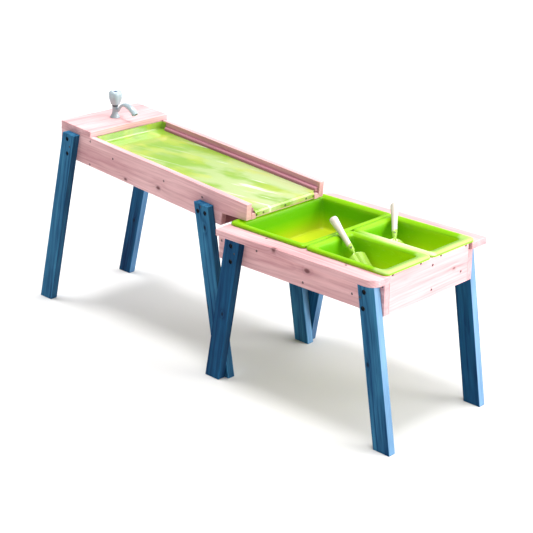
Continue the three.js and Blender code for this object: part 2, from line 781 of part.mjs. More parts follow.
addLegs();
addTableFrame();
addTubs();
addChuteBoards();
addDeck();
addLiner();
addTap();
addTools();

export default model;
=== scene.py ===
"""Looks for the sand and water table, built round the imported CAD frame. Metres, row frame, +Z up."""

import json
import math
import random

import bmesh
import bpy
import numpy as np
from mathutils import Matrix, Vector


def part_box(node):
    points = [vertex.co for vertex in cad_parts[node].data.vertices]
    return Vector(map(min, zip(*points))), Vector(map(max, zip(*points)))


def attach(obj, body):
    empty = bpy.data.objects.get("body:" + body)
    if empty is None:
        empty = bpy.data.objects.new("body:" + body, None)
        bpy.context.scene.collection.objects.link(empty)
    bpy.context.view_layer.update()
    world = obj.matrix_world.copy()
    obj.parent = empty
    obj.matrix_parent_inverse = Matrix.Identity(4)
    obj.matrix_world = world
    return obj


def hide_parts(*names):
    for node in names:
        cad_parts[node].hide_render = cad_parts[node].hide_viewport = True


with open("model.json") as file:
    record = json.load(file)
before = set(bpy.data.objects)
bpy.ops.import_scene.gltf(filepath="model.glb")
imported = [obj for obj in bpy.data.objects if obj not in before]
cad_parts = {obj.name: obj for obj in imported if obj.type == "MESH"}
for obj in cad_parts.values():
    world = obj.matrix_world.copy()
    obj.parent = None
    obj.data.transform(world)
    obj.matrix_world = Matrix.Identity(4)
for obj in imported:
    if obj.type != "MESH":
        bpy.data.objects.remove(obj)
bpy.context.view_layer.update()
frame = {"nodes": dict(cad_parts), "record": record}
nodes = frame["nodes"]
body_of = {
    node: body
    for body, members in frame["record"]["behaviour"]["bodies"].items()
    for node in members
}
scene = bpy.context.scene
MM = 0.001


# ---- Small helpers -------------------------------------------------------------------------


def new_object(name, mesh):
    piece = bpy.data.objects.new(name, mesh)
    scene.collection.objects.link(piece)
    return piece


def mesh_from(bm, name):
    bmesh.ops.recalc_face_normals(bm, faces=bm.faces)
    mesh = bpy.data.meshes.new(name)
    bm.to_mesh(mesh)
    bm.free()
    return mesh


def circle_points(radius, height, sides):
    angles = [2 * math.pi * i / sides for i in range(sides)]
    return [Vector((radius * math.cos(a), radius * math.sin(a), height)) for a in angles]


def bridge(bm, loops):
    """Joins each closed loop of vertices to the next with a band of faces."""
    for lower, upper in zip(loops, loops[1:]):
        for i in range(len(lower)):
            j = (i + 1) % len(lower)
            bm.faces.new((lower[i], lower[j], upper[j], upper[i]))


def facing(direction):
    """Turns +Z to the direction."""
    return direction.to_track_quat("Z", "Y").to_matrix().to_4x4()


def smooth(piece):
    piece.data.polygons.foreach_set("use_smooth", [True] * len(piece.data.polygons))
    piece.data.update()


def soften(piece, angle=35):
    """Smooth shading with crisp edges over the angle, and normals that keep flat faces flat."""
    smooth(piece)
    bm = bmesh.new()
    bm.from_mesh(piece.data)
    for edge in bm.edges:
        edge.smooth = edge.calc_face_angle(math.pi) < math.radians(angle)
    bm.to_mesh(piece.data)
    bm.free()
    weighted = piece.modifiers.new("flat_faces", "WEIGHTED_NORMAL")
    weighted.keep_sharp = True
    weighted.weight = 80


def bake_modifiers(piece):
    """Turns a piece's modifiers into plain mesh."""
    evaluated = piece.evaluated_get(bpy.context.evaluated_depsgraph_get())
    mesh = bpy.data.meshes.new_from_object(evaluated)
    piece.modifiers.clear()
    piece.data = mesh


def settle(piece, node_names, finish, body=None):
    """Gives a piece its material and body, and hides the CAD nodes that it stands for."""
    piece.data.materials.clear()
    piece.data.materials.append(finish)
    node_names = [node_names] if isinstance(node_names, str) else list(node_names)
    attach(piece, body or body_of[node_names[0]])
    if node_names:
        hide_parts(*node_names)


def centre_of(node):
    low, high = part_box(node)
    return (low + high) / 2


# ---- Node materials ------------------------------------------------------------------------


def math_step(operation, swapped=False):
    def step(self, other):
        return self.graph.math(operation, *((other, self) if swapped else (self, other)))
    return step


class Value:
    """A node's output. Each arithmetic step on it adds a math node."""

    __add__, __radd__ = math_step("ADD"), math_step("ADD", swapped=True)
    __sub__, __rsub__ = math_step("SUBTRACT"), math_step("SUBTRACT", swapped=True)
    __truediv__, __rtruediv__ = math_step("DIVIDE"), math_step("DIVIDE", swapped=True)
    __mul__ = math_step("MULTIPLY")
    __pow__ = math_step("POWER")

    def __init__(self, graph, socket):
        self.graph = graph
        self.socket = socket

    def clamped(self):
        """Keeps the last step's result from 0 to 1."""
        self.socket.node.use_clamp = True
        return self


class Graph:
    """Short calls for building one material's nodes."""

    def __init__(self, name):
        self.material = bpy.data.materials.new(name)
        self.material.use_nodes = True
        self.tree = self.material.node_tree
        self.tree.nodes.clear()
        self.shader = self.tree.nodes.new("ShaderNodeBsdfPrincipled")
        output = self.tree.nodes.new("ShaderNodeOutputMaterial")
        self.tree.links.new(self.shader.outputs[0], output.inputs["Surface"])

    def put(self, socket, value):
        if isinstance(value, Value):
            self.tree.links.new(value.socket, socket)
        else:
            socket.default_value = value

    def add(self, kind, inputs=None, output=0, **settings):
        node = self.tree.nodes.new(kind)
        for key, value in settings.items():
            setattr(node, key, value)
        for key, value in (inputs or {}).items():
            self.put(node.inputs[key], value)
        return Value(self, node.outputs[output])

    def math(self, operation, a, b=0.0):
        return self.add("ShaderNodeMath", {0: a, 1: b}, operation=operation)

    def vector(self, operation, a, b=(0.0, 0.0, 0.0), output=0):
        return self.add("ShaderNodeVectorMath", {0: a, 1: b}, output, operation=operation)

    def length(self, vector):
        return self.vector("LENGTH", vector, output="Value")

    def split(self, vector):
        node = self.add("ShaderNodeSeparateXYZ", {"Vector": vector}).socket.node
        return [Value(self, socket) for socket in node.outputs]

    def place(self):
        """Where a point is on the resting object, in metres."""
        return self.add("ShaderNodeTexCoord", output="Object")

    def attribute(self, name, output="Vector"):
        return self.add("ShaderNodeAttribute", output=output, attribute_name=name)

    def stretched_noise(self, coordinates, stretch, detail=3.0, roughness=0.5, distortion=0.0):
        """Noise with its own scale along each axis, from 0 to 1 with a mean of one half."""
        return self.add(
            "ShaderNodeTexNoise",
            {
                "Vector": self.vector("MULTIPLY", coordinates, stretch),
                "Scale": 1.0,
                "Detail": detail,
                "Roughness": roughness,
                "Distortion": distortion,
            },
            "Fac",
        )

    def ramp(self, factor, stops, interpolation="LINEAR"):
        ramp = self.add("ShaderNodeValToRGB", {"Fac": factor}, "Color")
        colours = ramp.socket.node.color_ramp
        colours.interpolation = interpolation
        while len(colours.elements) < len(stops):
            colours.elements.new(0.5)
        for element, (place, colour) in zip(colours.elements, stops):
            element.position = place
            element.color = (*colour, 1.0)
        return ramp

    def grey_ramp(self, factor, stops, interpolation="LINEAR"):
        return self.ramp(factor, [(place, (v, v, v)) for place, v in stops], interpolation)

    def mix(self, factor, *colours):
        factor_input, colour_inputs, colour_output = 0, (6, 7), 2
        inputs = {factor_input: factor}
        for key, colour in zip(colour_inputs, colours):
            inputs[key] = colour if isinstance(colour, Value) else (*colour, 1.0)
        return self.add("ShaderNodeMix", inputs, colour_output, data_type="RGBA")

    def bump(self, height, distance, strength=0.5):
        return self.add("ShaderNodeBump", {"Height": height, "Distance": distance, "Strength": strength})

    def finish(self, **sockets):
        for name, value in sockets.items():
            self.put(self.shader.inputs[name.replace("_", " ")], value)
        return self.material


def stained_wood(
    name, pale, deep, knot_colour, shade_colour=(0.1, 0.06, 0.06), shade_share=0.35,
    painted_light_colour=(0.23, 0.40, 0.61),
    ring_width=0.0062, contrast=1.0, roughness=0.62, specular=0.35, depth=0.22,
):
    """Softwood cut lengthwise: rings round a pith line that runs along the board, fibres, blotches, knots.

    Reads vertex attributes: the shares of painted shade and of painted light (0 to 1), grain (metres from the
    pith, X along the board), knot_a and knot_b (knot radii from a knot's middle), and spot with half (metres
    from the board's middle, and its half sizes).
    """
    g = Graph(name)
    grain = g.attribute("grain")
    _, across, deepness = g.split(grain)
    knots = [g.attribute("knot_a"), g.attribute("knot_b")]

    # Rings: distance from the pith, pushed about by slow noise, and humped up round each knot.
    sway = (g.stretched_noise(grain, (1.6, 9.0, 9.0), detail=2.0) - 0.5) * 0.018
    ripple = (g.stretched_noise(grain, (14.0, 60.0, 60.0), detail=2.0) - 0.5) * 0.0035
    wobble = (g.stretched_noise(grain, (40.0, 55.0, 55.0), detail=1.0) - 0.5) * 0.5
    reaches = [g.length(g.vector("MULTIPLY", knot, (0.62, 1.0, 0.5))) + wobble for knot in knots]
    distance = g.math("SQRT", across ** 2.0 + deepness ** 2.0) + (sway + ripple)
    for reach in reaches:
        distance = distance + 1.0 / (1.0 + reach * reach * 0.55) * 0.017
    phase = g.math("FRACT", distance / ring_width)
    late_wood = g.grey_ramp(phase, [(0.0, 0.0), (0.45, 0.12), (0.82, 1.0), (0.93, 0.85), (1.0, 0.0)], "EASE")

    fibre = g.stretched_noise(grain, (9.0, 420.0, 420.0), detail=2.0, roughness=0.6)
    streak = g.stretched_noise(grain, (3.0, 75.0, 75.0), roughness=0.6)
    blotch = g.stretched_noise(grain, (3.5, 16.0, 16.0))
    stain = late_wood * (0.20 * contrast) + (fibre - 0.5) * (0.55 * contrast)
    stain = stain + (streak - 0.5) * (1.15 * contrast) + (blotch - 0.42) * (1.1 * contrast)
    stain = (stain + depth).clamped()
    colour = g.mix(stain, pale, deep)

    # Knots: a dark core, and darker grain that streams past it.
    nearest = g.math("MINIMUM", *reaches)
    core = g.grey_ramp(nearest * 0.5, [(0.0, 1.0), (0.34, 0.92), (0.5, 0.55), (0.62, 0.2), (1.0, 0.0)])
    halos = [g.length(g.vector("MULTIPLY", knot, (0.11, 0.62, 0.3))) for knot in knots]
    halo = (1.0 - g.math("MINIMUM", *halos) * 0.62).clamped()
    halo = halo ** 1.4 * g.grey_ramp(streak, [(0.3, 0.25), (0.6, 1.0)])
    colour = g.mix(halo * 0.55, colour, deep)
    colour = g.mix(halo * 0.22, colour, knot_colour)
    colour = g.mix(core * 0.96, colour, knot_colour)

    # The stain is rubbed thin along the edges and soaks dark into end grain.
    spot = g.vector("ABSOLUTE", g.attribute("spot"))
    from_end, from_side, from_face = g.split(g.vector("SUBTRACT", g.attribute("half"), spot))
    smaller = g.math("MINIMUM", from_side, from_face)
    larger = g.math("MAXIMUM", from_side, from_face)
    to_edge = g.math("MAXIMUM", smaller, g.math("MINIMUM", larger, from_end))
    ragged = to_edge + (streak - 0.5) * 0.006
    rubbed = (1.0 - ragged / 0.0032).clamped()
    soaked = (1.0 - from_end / 0.0010).clamped()
    colour = g.mix(rubbed * 0.38, colour, pale)
    colour = g.mix(soaked * 0.3, colour, deep)

    # Painted light: the marked face is mixed towards a pale tint, less so in the deeper grain.
    thin = 1.25 - (stain * 0.4 + blotch * 0.7)
    colour = g.mix((g.attribute("x_face_light_and_shade", "Fac") * thin).clamped(), colour, painted_light_colour)

    # Painted shade: the marked wood, such as a side board's face towards the water, a leg's shaded side and
    # the walls of the bolt holes, is darker.
    colour = g.mix(g.attribute("painted_shade", "Fac") * shade_share, colour, shade_colour)

    relief = late_wood * 0.5 + fibre * 0.8 - core * 0.3
    return g.finish(
        Base_Color=colour,
        Roughness=roughness - 0.08 + streak * 0.16,
        Specular_IOR_Level=specular,
        Normal=g.bump(relief, 0.00035, 0.6),
    )


def plastic_skin(g, place, scale=1.0):
    """Fine scuffs, and the bump that they make with a faint orange peel."""
    peel = g.stretched_noise(place, (210.0 * scale,) * 3, detail=1.0)
    scuff = g.stretched_noise(place, (60.0 * scale, 420.0 * scale, 300.0 * scale), roughness=0.7)
    scuff = g.grey_ramp(scuff, [(0.58, 0.0), (0.72, 1.0)])
    return scuff, g.bump(peel + scuff * 0.4, 0.00012)


def moulded_plastic(name, colour, deep, scale=1.0):
    """Glossy moulded plastic with slow colour drift."""
    g = Graph(name)
    place = g.place()
    drift = g.stretched_noise(place, (9.0 * scale,) * 3, detail=2.0)
    scuff, normal = plastic_skin(g, place, scale)
    tint = g.mix(drift * 0.7, colour, deep)
    return g.finish(
        Base_Color=g.mix(scuff * 0.10, tint, (0.9, 0.95, 0.8)),
        Roughness=0.2 + scuff * 0.22,
        Coat_Weight=0.3,
        Coat_Roughness=0.08,
        Normal=normal,
    )


def tub_plastic(name, levels):
    """Formed lime sheet, coloured by height: painted shade darkens the walls, and the rim and the floor are
    paler.

    levels are (height in metres, colour) from the floor to the rim.
    """
    shoulder, rim_foot, rim_roll = 0.4895, 0.4925, 0.4915
    lit_end_from, lit_end_over = 0.47, 0.20
    seam_middle, seam_reach = 0.004, 0.022
    end_from, end_over = 0.688, 0.012

    g = Graph(name)
    place = g.place()
    along, across, height = g.split(place)
    low, high = levels[0][0], levels[-1][0]
    drift = g.stretched_noise(place, (9.0,) * 3, detail=2.0)
    # Painted light: the walls, and the band just below the rim, are paler towards the table's right end.
    lit_end = ((along - lit_end_from) / lit_end_over).clamped()
    on_wall = g.math("LESS_THAN", height, shoulder)
    share = (height - low) / (high - low) - lit_end * 0.30 * on_wall
    share = (share + (drift - 0.5) * 0.10).clamped()
    tint = g.ramp(share, [((z - low) / (high - low), colour) for z, colour in levels])
    tint = g.mix(drift * 0.35, tint, (0.20, 0.42, 0.004))
    below_rim = ((rim_foot - height) / 0.004).clamped()
    tint = g.mix(lit_end * below_rim * 0.65, tint, (0.50, 0.78, 0.003))
    # Painted highlight: the rims are paler where the small tubs meet and at the table's right end.
    seam_highlight = (1.0 - g.math("ABSOLUTE", across - seam_middle) / seam_reach).clamped() * (lit_end * 1.6).clamped()
    end = ((along - end_from) / end_over).clamped()
    on_rim = ((height - rim_roll) / 0.003).clamped()
    rim_highlight = g.math("MAXIMUM", (seam_highlight * 1.3).clamped(), end * 0.35) * on_rim
    tint = g.mix((rim_highlight * (0.6 + drift * 0.8)).clamped(), tint, (0.80, 0.93, 0.45))
    scuff, normal = plastic_skin(g, place)
    return g.finish(
        Base_Color=g.mix(scuff * 0.06, tint, (0.85, 0.95, 0.6)),
        Roughness=0.28 + scuff * 0.2,
        Specular_IOR_Level=0.16,
        Coat_Weight=0.04,
        Coat_Roughness=0.1,
        Normal=normal,
    )


def wet_liner(name, colour, pale):
    """The liner's sheet: glossy, with long smooth runs down the slope where water has spread."""
    g = Graph(name)
    place = g.place()
    turned = g.add(
        "ShaderNodeVectorRotate", {"Vector": place, "Angle": -math.radians(16)}, rotation_type="Z_AXIS"
    )
    runs = g.stretched_noise(place, (2.2, 16.0, 9.0), detail=2.0, distortion=0.35)
    fine = g.stretched_noise(place, (7.0, 60.0, 30.0), detail=2.0)
    patches = g.stretched_noise(turned, (7.0, 15.0, 9.0))
    hues = g.stretched_noise(turned, (10.0, 18.0, 5.0), detail=2.0)
    streaks = g.stretched_noise(turned, (2.4, 34.0, 0.0), detail=4.0, roughness=0.6, distortion=0.25)
    down = ((g.split(place)[0] + 0.45) * 1.7).clamped()
    veil = g.grey_ramp(patches + down * 0.12, [(0.42, 0.0), (0.66, 1.0)], "EASE") * (0.25 + down * 0.75)
    yellow = g.grey_ramp(hues, [(0.48, 0.0), (0.68, 1.0)], "EASE")
    # Painted highlight: pale streaks of sheen on the wet sheet, stronger down the slope.
    painted_sheen = g.grey_ramp(streaks, [(0.565, 0.0), (0.68, 1.0)], "EASE") * (down * 2.2).clamped()
    tint = g.mix(veil * 0.75, colour, pale)
    tint = g.mix(yellow * 0.45, tint, (0.50, 0.56, 0.05))
    return g.finish(
        Base_Color=g.mix(painted_sheen * 0.85, tint, (0.93, 0.95, 0.85)),
        Roughness=0.16,
        Coat_Weight=0.6,
        Coat_Roughness=0.05,
        Normal=g.bump(runs + fine * 0.12, 0.004),
    )


def dark_metal(name, colour, roughness=0.38, metallic=0.85):
    g = Graph(name)
    wear = g.stretched_noise(g.place(), (500.0,) * 3, detail=2.0)
    return g.finish(
        Base_Color=g.mix(wear * 0.8, colour, tuple(2.2 * c for c in colour)),
        Metallic=metallic,
        Roughness=roughness - 0.08 + wear * 0.25,
        Normal=g.bump(wear, 0.00008),
    )


def black_rubber(name):
    g = Graph(name)
    dust = g.stretched_noise(g.place(), (300.0,) * 3, detail=2.0)
    return g.finish(
        Base_Color=g.mix(dust, (0.012, 0.012, 0.013), (0.05, 0.05, 0.052)),
        Roughness=0.75,
        Normal=g.bump(dust, 0.0001),
    )


PINK_KNOT = (0.13, 0.035, 0.04)
BLUE_KNOT = (0.002, 0.006, 0.02)
PINK_WOOD = stained_wood(
    "pink_stained_wood",
    pale=(0.85, 0.535, 0.54),
    deep=(0.52, 0.235, 0.255),
    knot_colour=PINK_KNOT,
    shade_colour=(0.66, 0.30, 0.42),
    shade_share=0.4,
    painted_light_colour=(0.84, 0.55, 0.545),
    contrast=1.15,
    depth=0.25,
)
# A darker copy of the pink wood: painted shade for the clamp battens and the lower bulkhead, which lie in
# shade.
SHADED_PINK_WOOD = stained_wood(
    "pink_wood_painted_shade",
    pale=(0.50, 0.225, 0.27),
    deep=(0.28, 0.10, 0.14),
    knot_colour=PINK_KNOT,
)
BLUE_COAT = {"knot_colour": BLUE_KNOT, "shade_share": 0.92, "roughness": 0.7, "specular": 0.10, "depth": 0.30}
BLUE_WOOD = stained_wood(
    "blue_stained_wood",
    pale=(0.046, 0.215, 0.375),
    deep=(0.001, 0.034, 0.115),
    shade_colour=(0.0005, 0.005, 0.020),
    contrast=1.35,
    **BLUE_COAT,
)
# A darker copy of the blue wood: painted shade for the legs that stand in shade.
SHADED_BLUE_WOOD = stained_wood(
    "blue_wood_painted_shade",
    pale=(0.012, 0.105, 0.235),
    deep=(0.0003, 0.018, 0.072),
    shade_colour=(0.0005, 0.003, 0.010),
    contrast=1.3,
    **BLUE_COAT,
)
HANDLE_WOOD = stained_wood(
    "pale_turned_wood",
    pale=(0.75, 0.67, 0.63),
    deep=(0.56, 0.45, 0.39),
    knot_colour=(0.45, 0.3, 0.2),
    ring_width=0.0028,
    contrast=0.5,
    roughness=0.4,
)
# Colours from the floor to the rim: painted shade on the walls.
TUB_PLASTIC = tub_plastic("lime_tub_plastic", [
    (0.400, (0.55, 0.60, 0.020)), (0.412, (0.50, 0.60, 0.014)),
    (0.435, (0.25, 0.53, 0.002)), (0.460, (0.11, 0.43, 0.001)),
    (0.482, (0.11, 0.42, 0.001)), (0.4935, (0.21, 0.52, 0.001)), (0.499, (0.24, 0.54, 0.002)),
])
TOOL_PLASTIC = moulded_plastic("lime_tool_plastic", (0.40, 0.60, 0.08), (0.32, 0.54, 0.05), scale=3.0)
LINER_PLASTIC = wet_liner("lime_wet_liner", (0.24, 0.42, 0.035), (0.56, 0.62, 0.34))
TAP_PLASTIC = moulded_plastic("grey_tap_plastic", (0.40, 0.49, 0.53), (0.30, 0.38, 0.42), scale=4.0)
PALE_PLASTIC = moulded_plastic("pale_ring_plastic", (0.70, 0.82, 0.92), (0.62, 0.76, 0.90), scale=4.0)
INDEX_PLASTIC = moulded_plastic("dark_blue_plastic", (0.02, 0.05, 0.18), (0.015, 0.035, 0.13), scale=4.0)
# Dark plastic for the ring of painted shade under the knob.
NECK_SHADE_PLASTIC = moulded_plastic("neck_shade_plastic", (0.06, 0.08, 0.10), (0.04, 0.055, 0.07), scale=4.0)
DARK_STEEL = dark_metal("dark_bolt_steel", (0.006, 0.008, 0.012), roughness=0.5, metallic=0.3)
SCREW_STEEL = dark_metal("dark_screw_steel", (0.05, 0.05, 0.055))
RUBBER = black_rubber("black_washer_rubber")


# ---- Boards --------------------------------------------------------------------------------

# Screws as (x, z) on the sides, (x, y) on the rails and (y, z) on the end boards, in millimetres.
CHUTE_BOARD_SCREWS = [(-498, 596), (-389, 561.5), (-507, 519), (-151, 542), (18, 529.7)]
APRON_SCREWS = [(621, 409), (445, 391), (268, 436), (127, 431), (722, 457)]
RAIL_SCREWS = [(316, 196), (606, 196)]
RIGHT_END_SCREWS = [
    (10, 465), (9, 395), (137, 412), (-155.8, 483.5), (-41.1, 483.5), (44.2, 483.5), (154.8, 483.5),
]
LEFT_END_SCREWS = [(-140, 412), (140, 412), (0, 430)]
LEG_SCREWS = {
    "chute_head_leg": (-573.6, 568.5),
    "chute_lip_leg": (37, 511),
    "table_left_leg": (204, 417),
    "table_right_leg": (670, 421),
}
# Legs that get a darker copy of the blue wood: painted shade.
SHADED_LEGS = ["near_table_left_leg", "far_chute_head_leg", "far_table_left_leg", "far_table_right_leg"]
# Painted light on each leg's face towards +X, or painted shade there where negative.
X_FACE_LIGHT_AND_SHADE = {
    "near_table_right_leg": 0.95,
    "far_table_right_leg": 1.0,
    "far_chute_lip_leg": 0.6,
    "far_chute_head_leg": 0.35,
    "far_table_left_leg": 0.5,
    "near_chute_head_leg": -0.6,
    "near_chute_lip_leg": -0.55,
    "near_table_left_leg": -0.55,
}
# Knots as (x, z) on upright boards or (x, y) on level ones, with a radius, all in millimetres.
KNOTS = {
    "near_apron": [(461, 429, 6)],
    "near_rail": [(386, -238, 5)],
    "near_chute_board": [(-330, 509, 4), (-176, 515, 5)],
    "far_chute_board": [(-200, 560, 5)],
    "near_chute_lip_leg": [(55, 452, 4), (59, 205, 5)],
    "near_table_left_leg": [(152, 218, 3.5)],
    "near_table_right_leg": [(704, 240, 3.5)],
    "far_chute_head_leg": [(-690, 210, 4)],
}
NO_KNOT = 60.0            # knot radii that stand for no knot near
BOLT_HOLE = 6.6 * MM
NUT_HOLE = 7 * MM
SCREW_HOLE = 3.7 * MM
WELD = 1e-5
ON_FACE = 2e-5

screw_seats = []          # (body, point, outward direction) of every screw head


def cylinder(bm, point, direction, radius, depth, mouth, sides=28):
    """A hole's cutter: goes depth deep into the wood from point, with a small chamfer at its mouth."""
    above = 3 * MM
    turn = facing(direction)
    rings = [(-depth, radius), (-mouth, radius), (0.0, radius + mouth), (above, radius + mouth)]
    loops = [
        [bm.verts.new(point + (turn @ spot)) for spot in circle_points(size, height, sides)]
        for height, size in rings
    ]
    bm.faces.new(reversed(loops[0]))
    bm.faces.new(loops[-1])
    bridge(bm, loops)


def merge_flat(bm):
    bmesh.ops.dissolve_limit(bm, angle_limit=math.radians(1.5), verts=bm.verts, edges=bm.edges)


def outline_mesh(name):
    """A board's plain outline from its CAD node, without its bolt holes."""
    bm = bmesh.new()
    for vertex in nodes[name].data.vertices:
        bm.verts.new(vertex.co)
    bmesh.ops.remove_doubles(bm, verts=bm.verts, dist=WELD)
    result = bmesh.ops.convex_hull(bm, input=bm.verts, use_existing_faces=False)
    left_over = {*result["geom_interior"], *result["geom_unused"]}
    spare = [item for item in left_over if isinstance(item, bmesh.types.BMVert)]
    bmesh.ops.delete(bm, geom=spare, context="VERTS")
    merge_flat(bm)
    return bm


def exact_mesh(name):
    """A board's outline as its CAD node has it, for shapes that are not convex."""
    bm = bmesh.new()
    bm.from_mesh(nodes[name].data)
    bmesh.ops.remove_doubles(bm, verts=bm.verts, dist=WELD)
    merge_flat(bm)
    return bm


def notched_mesh(name, holes):
    """A chute side board, which is cut away over the table, from its CAD node's corners."""
    low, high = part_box(name)
    corners = set()
    for vertex in nodes[name].data.vertices:
        x, _, z = vertex.co
        if all(math.hypot(x - hole.x, z - hole.z) > 9 * MM for hole in holes):
            corners.add((round(x, 5), round(z, 5)))
    x_middle, z_middle = (low.x + high.x) / 2, (low.z + high.z) / 2 + 0.01
    ordered = sorted(corners, key=lambda c: math.atan2(c[1] - z_middle, c[0] - x_middle))
    bm = bmesh.new()
    front = [bm.verts.new((x, low.y, z)) for x, z in ordered]
    back = [bm.verts.new((x, high.y, z)) for x, z in ordered]
    bm.faces.new(front)
    bm.faces.new(reversed(back))
    for i in range(len(ordered)):
        j = (i + 1) % len(ordered)
        bm.faces.new((front[i], back[i], back[j], front[j]))
    return bm


def board_axes(bm):
    """The ways the board is long, wide and thin, with its middle and half sizes."""
    longest = max(bm.edges, key=lambda edge: edge.calc_length())
    along = (longest.verts[1].co - longest.verts[0].co).normalized()
    best = None
    for face in bm.faces:
        normal = face.normal
        if abs(normal.dot(along)) > 0.02:
            continue
        spread = [vertex.co.dot(normal) for vertex in bm.verts]
        size = max(spread) - min(spread)
        if best is None or size < best[0] - 1e-4:
            best = (size, normal.copy())
    thin = best[1]
    wide = thin.cross(along).normalized()
    axes = (along, wide, thin)
    ranges = [[vertex.co.dot(axis) for vertex in bm.verts] for axis in axes]
    middle = sum((axis * ((max(r) + min(r)) / 2) for axis, r in zip(axes, ranges)), Vector())
    half = Vector([(max(r) - min(r)) / 2 for r in ranges])
    return axes, middle, half


def points_of(piece):
    return np.array([vertex.co for vertex in piece.data.vertices], float)


def write_vectors(mesh, name, values):
    attribute = mesh.attributes.new(name, "FLOAT_VECTOR", "POINT")
    attribute.data.foreach_set("vector", np.asarray(values, np.float32).ravel())


def write_amounts(mesh, name, values):
    attribute = mesh.attributes.new(name, "FLOAT", "POINT")
    attribute.data.foreach_set("value", np.asarray(values, np.float32))


def write_grain(piece, axes, middle, half, knots, seed, pith=None):
    """Stores the coordinates that stained_wood reads. They are straight in the mesh, so few vertices do."""
    chance = random.Random(seed)
    basis = np.array([list(axis) for axis in axes], float)
    spot = (points_of(piece) - np.array(middle)) @ basis.T
    if pith is None:
        pith = (
            chance.uniform(-0.6, 0.6) * half.y,
            chance.choice((-1, 1)) * chance.uniform(0.028, 0.075),
        )
    lean = chance.uniform(-0.045, 0.045)
    grain = spot.copy()
    grain[:, 0] += chance.uniform(0, 20)
    grain[:, 1] -= pith[0] + lean * spot[:, 0]
    grain[:, 2] -= pith[1]
    mesh = piece.data
    write_vectors(mesh, "grain", grain)
    write_vectors(mesh, "spot", spot)
    write_vectors(mesh, "half", np.tile(np.array(half), (len(spot), 1)))
    for index, key in enumerate(("knot_a", "knot_b")):
        from_knot = np.full(spot.shape, NO_KNOT)
        if index < len(knots):
            place, radius = knots[index]
            centre = (np.array(place) - np.array(middle)) @ basis.T
            from_knot = (spot - centre) / radius
        write_vectors(mesh, key, from_knot)


def write_painted_shade(piece, inner, holes, plus_x_face, x_face_light_and_shade):
    """Marks where painted shade darkens the wood: the face that inner lies on, the bolt holes' walls, and the
    face towards +X where its amount is below 0.
    """
    co = points_of(piece)
    values = np.zeros(len(co))
    if inner:
        point, direction = (np.array(v) for v in inner)
        values[np.abs((co - point) @ direction) < ON_FACE] = 1.0
    for point, direction, radius in holes:
        offset = co - np.array(point)
        depth = -(offset @ np.array(direction))
        radial = np.linalg.norm(offset + depth[:, None] * np.array(direction), axis=1)
        values[(depth > 0.3 * MM) & (depth < 9 * MM) & (radial < radius + 0.4 * MM)] = 1.0
    if x_face_light_and_shade < 0:
        values[plus_x_face] = -x_face_light_and_shade
    write_amounts(piece.data, "painted_shade", values)


def face_towards_x(piece, axes, middle, half):
    """Which points lie on the board's edge or side that faces +X."""
    axis, reach = (axes[1], half.y) if abs(axes[1].x) > abs(axes[2].x) else (axes[2], half.z)
    outward = np.array(axis) * (1 if axis.x > 0 else -1)
    return np.abs((points_of(piece) - np.array(middle)) @ outward - reach) < ON_FACE


def bevel_edges(bm, width, segments=3, angle=20):
    sharp = [edge for edge in bm.edges if edge.calc_face_angle(0.0) > math.radians(angle)]
    bmesh.ops.bevel(
        bm, geom=sharp, offset=width, segments=segments, profile=0.6, affect="EDGES", clamp_overlap=True
    )


def carve(piece, cutter):
    """Cuts the cutter's shapes out of the piece."""
    if not cutter.faces:
        cutter.free()
        return
    tool = new_object("cutter", mesh_from(cutter, "cutter"))
    difference = piece.modifiers.new("holes", "BOOLEAN")
    difference.operation = "DIFFERENCE"
    difference.solver = "EXACT"
    difference.object = tool
    bake_modifiers(piece)
    bpy.data.objects.remove(tool)


def board(
    name, finish=PINK_WOOD, bolts=(), nuts=(), screws=(), knots=(),
    edge=1.8, notched=False, shouldered=False, inner=None, x_face_light_and_shade=0.0, seed=0,
):
    """One plank: outline from the CAD node, softened edges, bolt and screw holes, and grain of its own.

    bolts and nuts are (point, outward direction); screws are the same and get a head each.
    inner is the same for the face that faces the water, which gets painted shade. The amount for the face
    towards +X gives that face painted light, or painted shade where it is below 0.
    """
    if notched:
        bm = notched_mesh(name, [point for point, _ in [*bolts, *nuts]])
    else:
        bm = exact_mesh(name) if shouldered else outline_mesh(name)
    bm.normal_update()
    axes, middle, half = board_axes(bm)
    bevel_edges(bm, edge * MM)
    piece = new_object(f"{name}_wood", mesh_from(bm, f"{name}_wood"))
    cutter = bmesh.new()
    for point, direction in bolts:
        cylinder(cutter, point, direction, BOLT_HOLE, 8 * MM, mouth=0.5 * MM)
    for point, direction in nuts:
        cylinder(cutter, point, direction, NUT_HOLE, 6.6 * MM, mouth=0.3 * MM)
    for point, direction in screws:
        cylinder(cutter, point, direction, SCREW_HOLE, 1.4 * MM, mouth=0.3 * MM, sides=20)
        screw_seats.append((body_of[name], point - direction * 1.3 * MM, direction))
    carve(piece, cutter)
    write_grain(piece, axes, middle, half, knots, seed)
    holes = [(p, d, BOLT_HOLE) for p, d in bolts] + [(p, d, NUT_HOLE) for p, d in nuts]
    plus_x_face = face_towards_x(piece, axes, middle, half)
    write_painted_shade(piece, inner, holes, plus_x_face, x_face_light_and_shade)
    write_amounts(piece.data, "x_face_light_and_shade", np.where(plus_x_face, max(x_face_light_and_shade, 0.0), 0.0))
    settle(piece, name, finish)
    soften(piece)


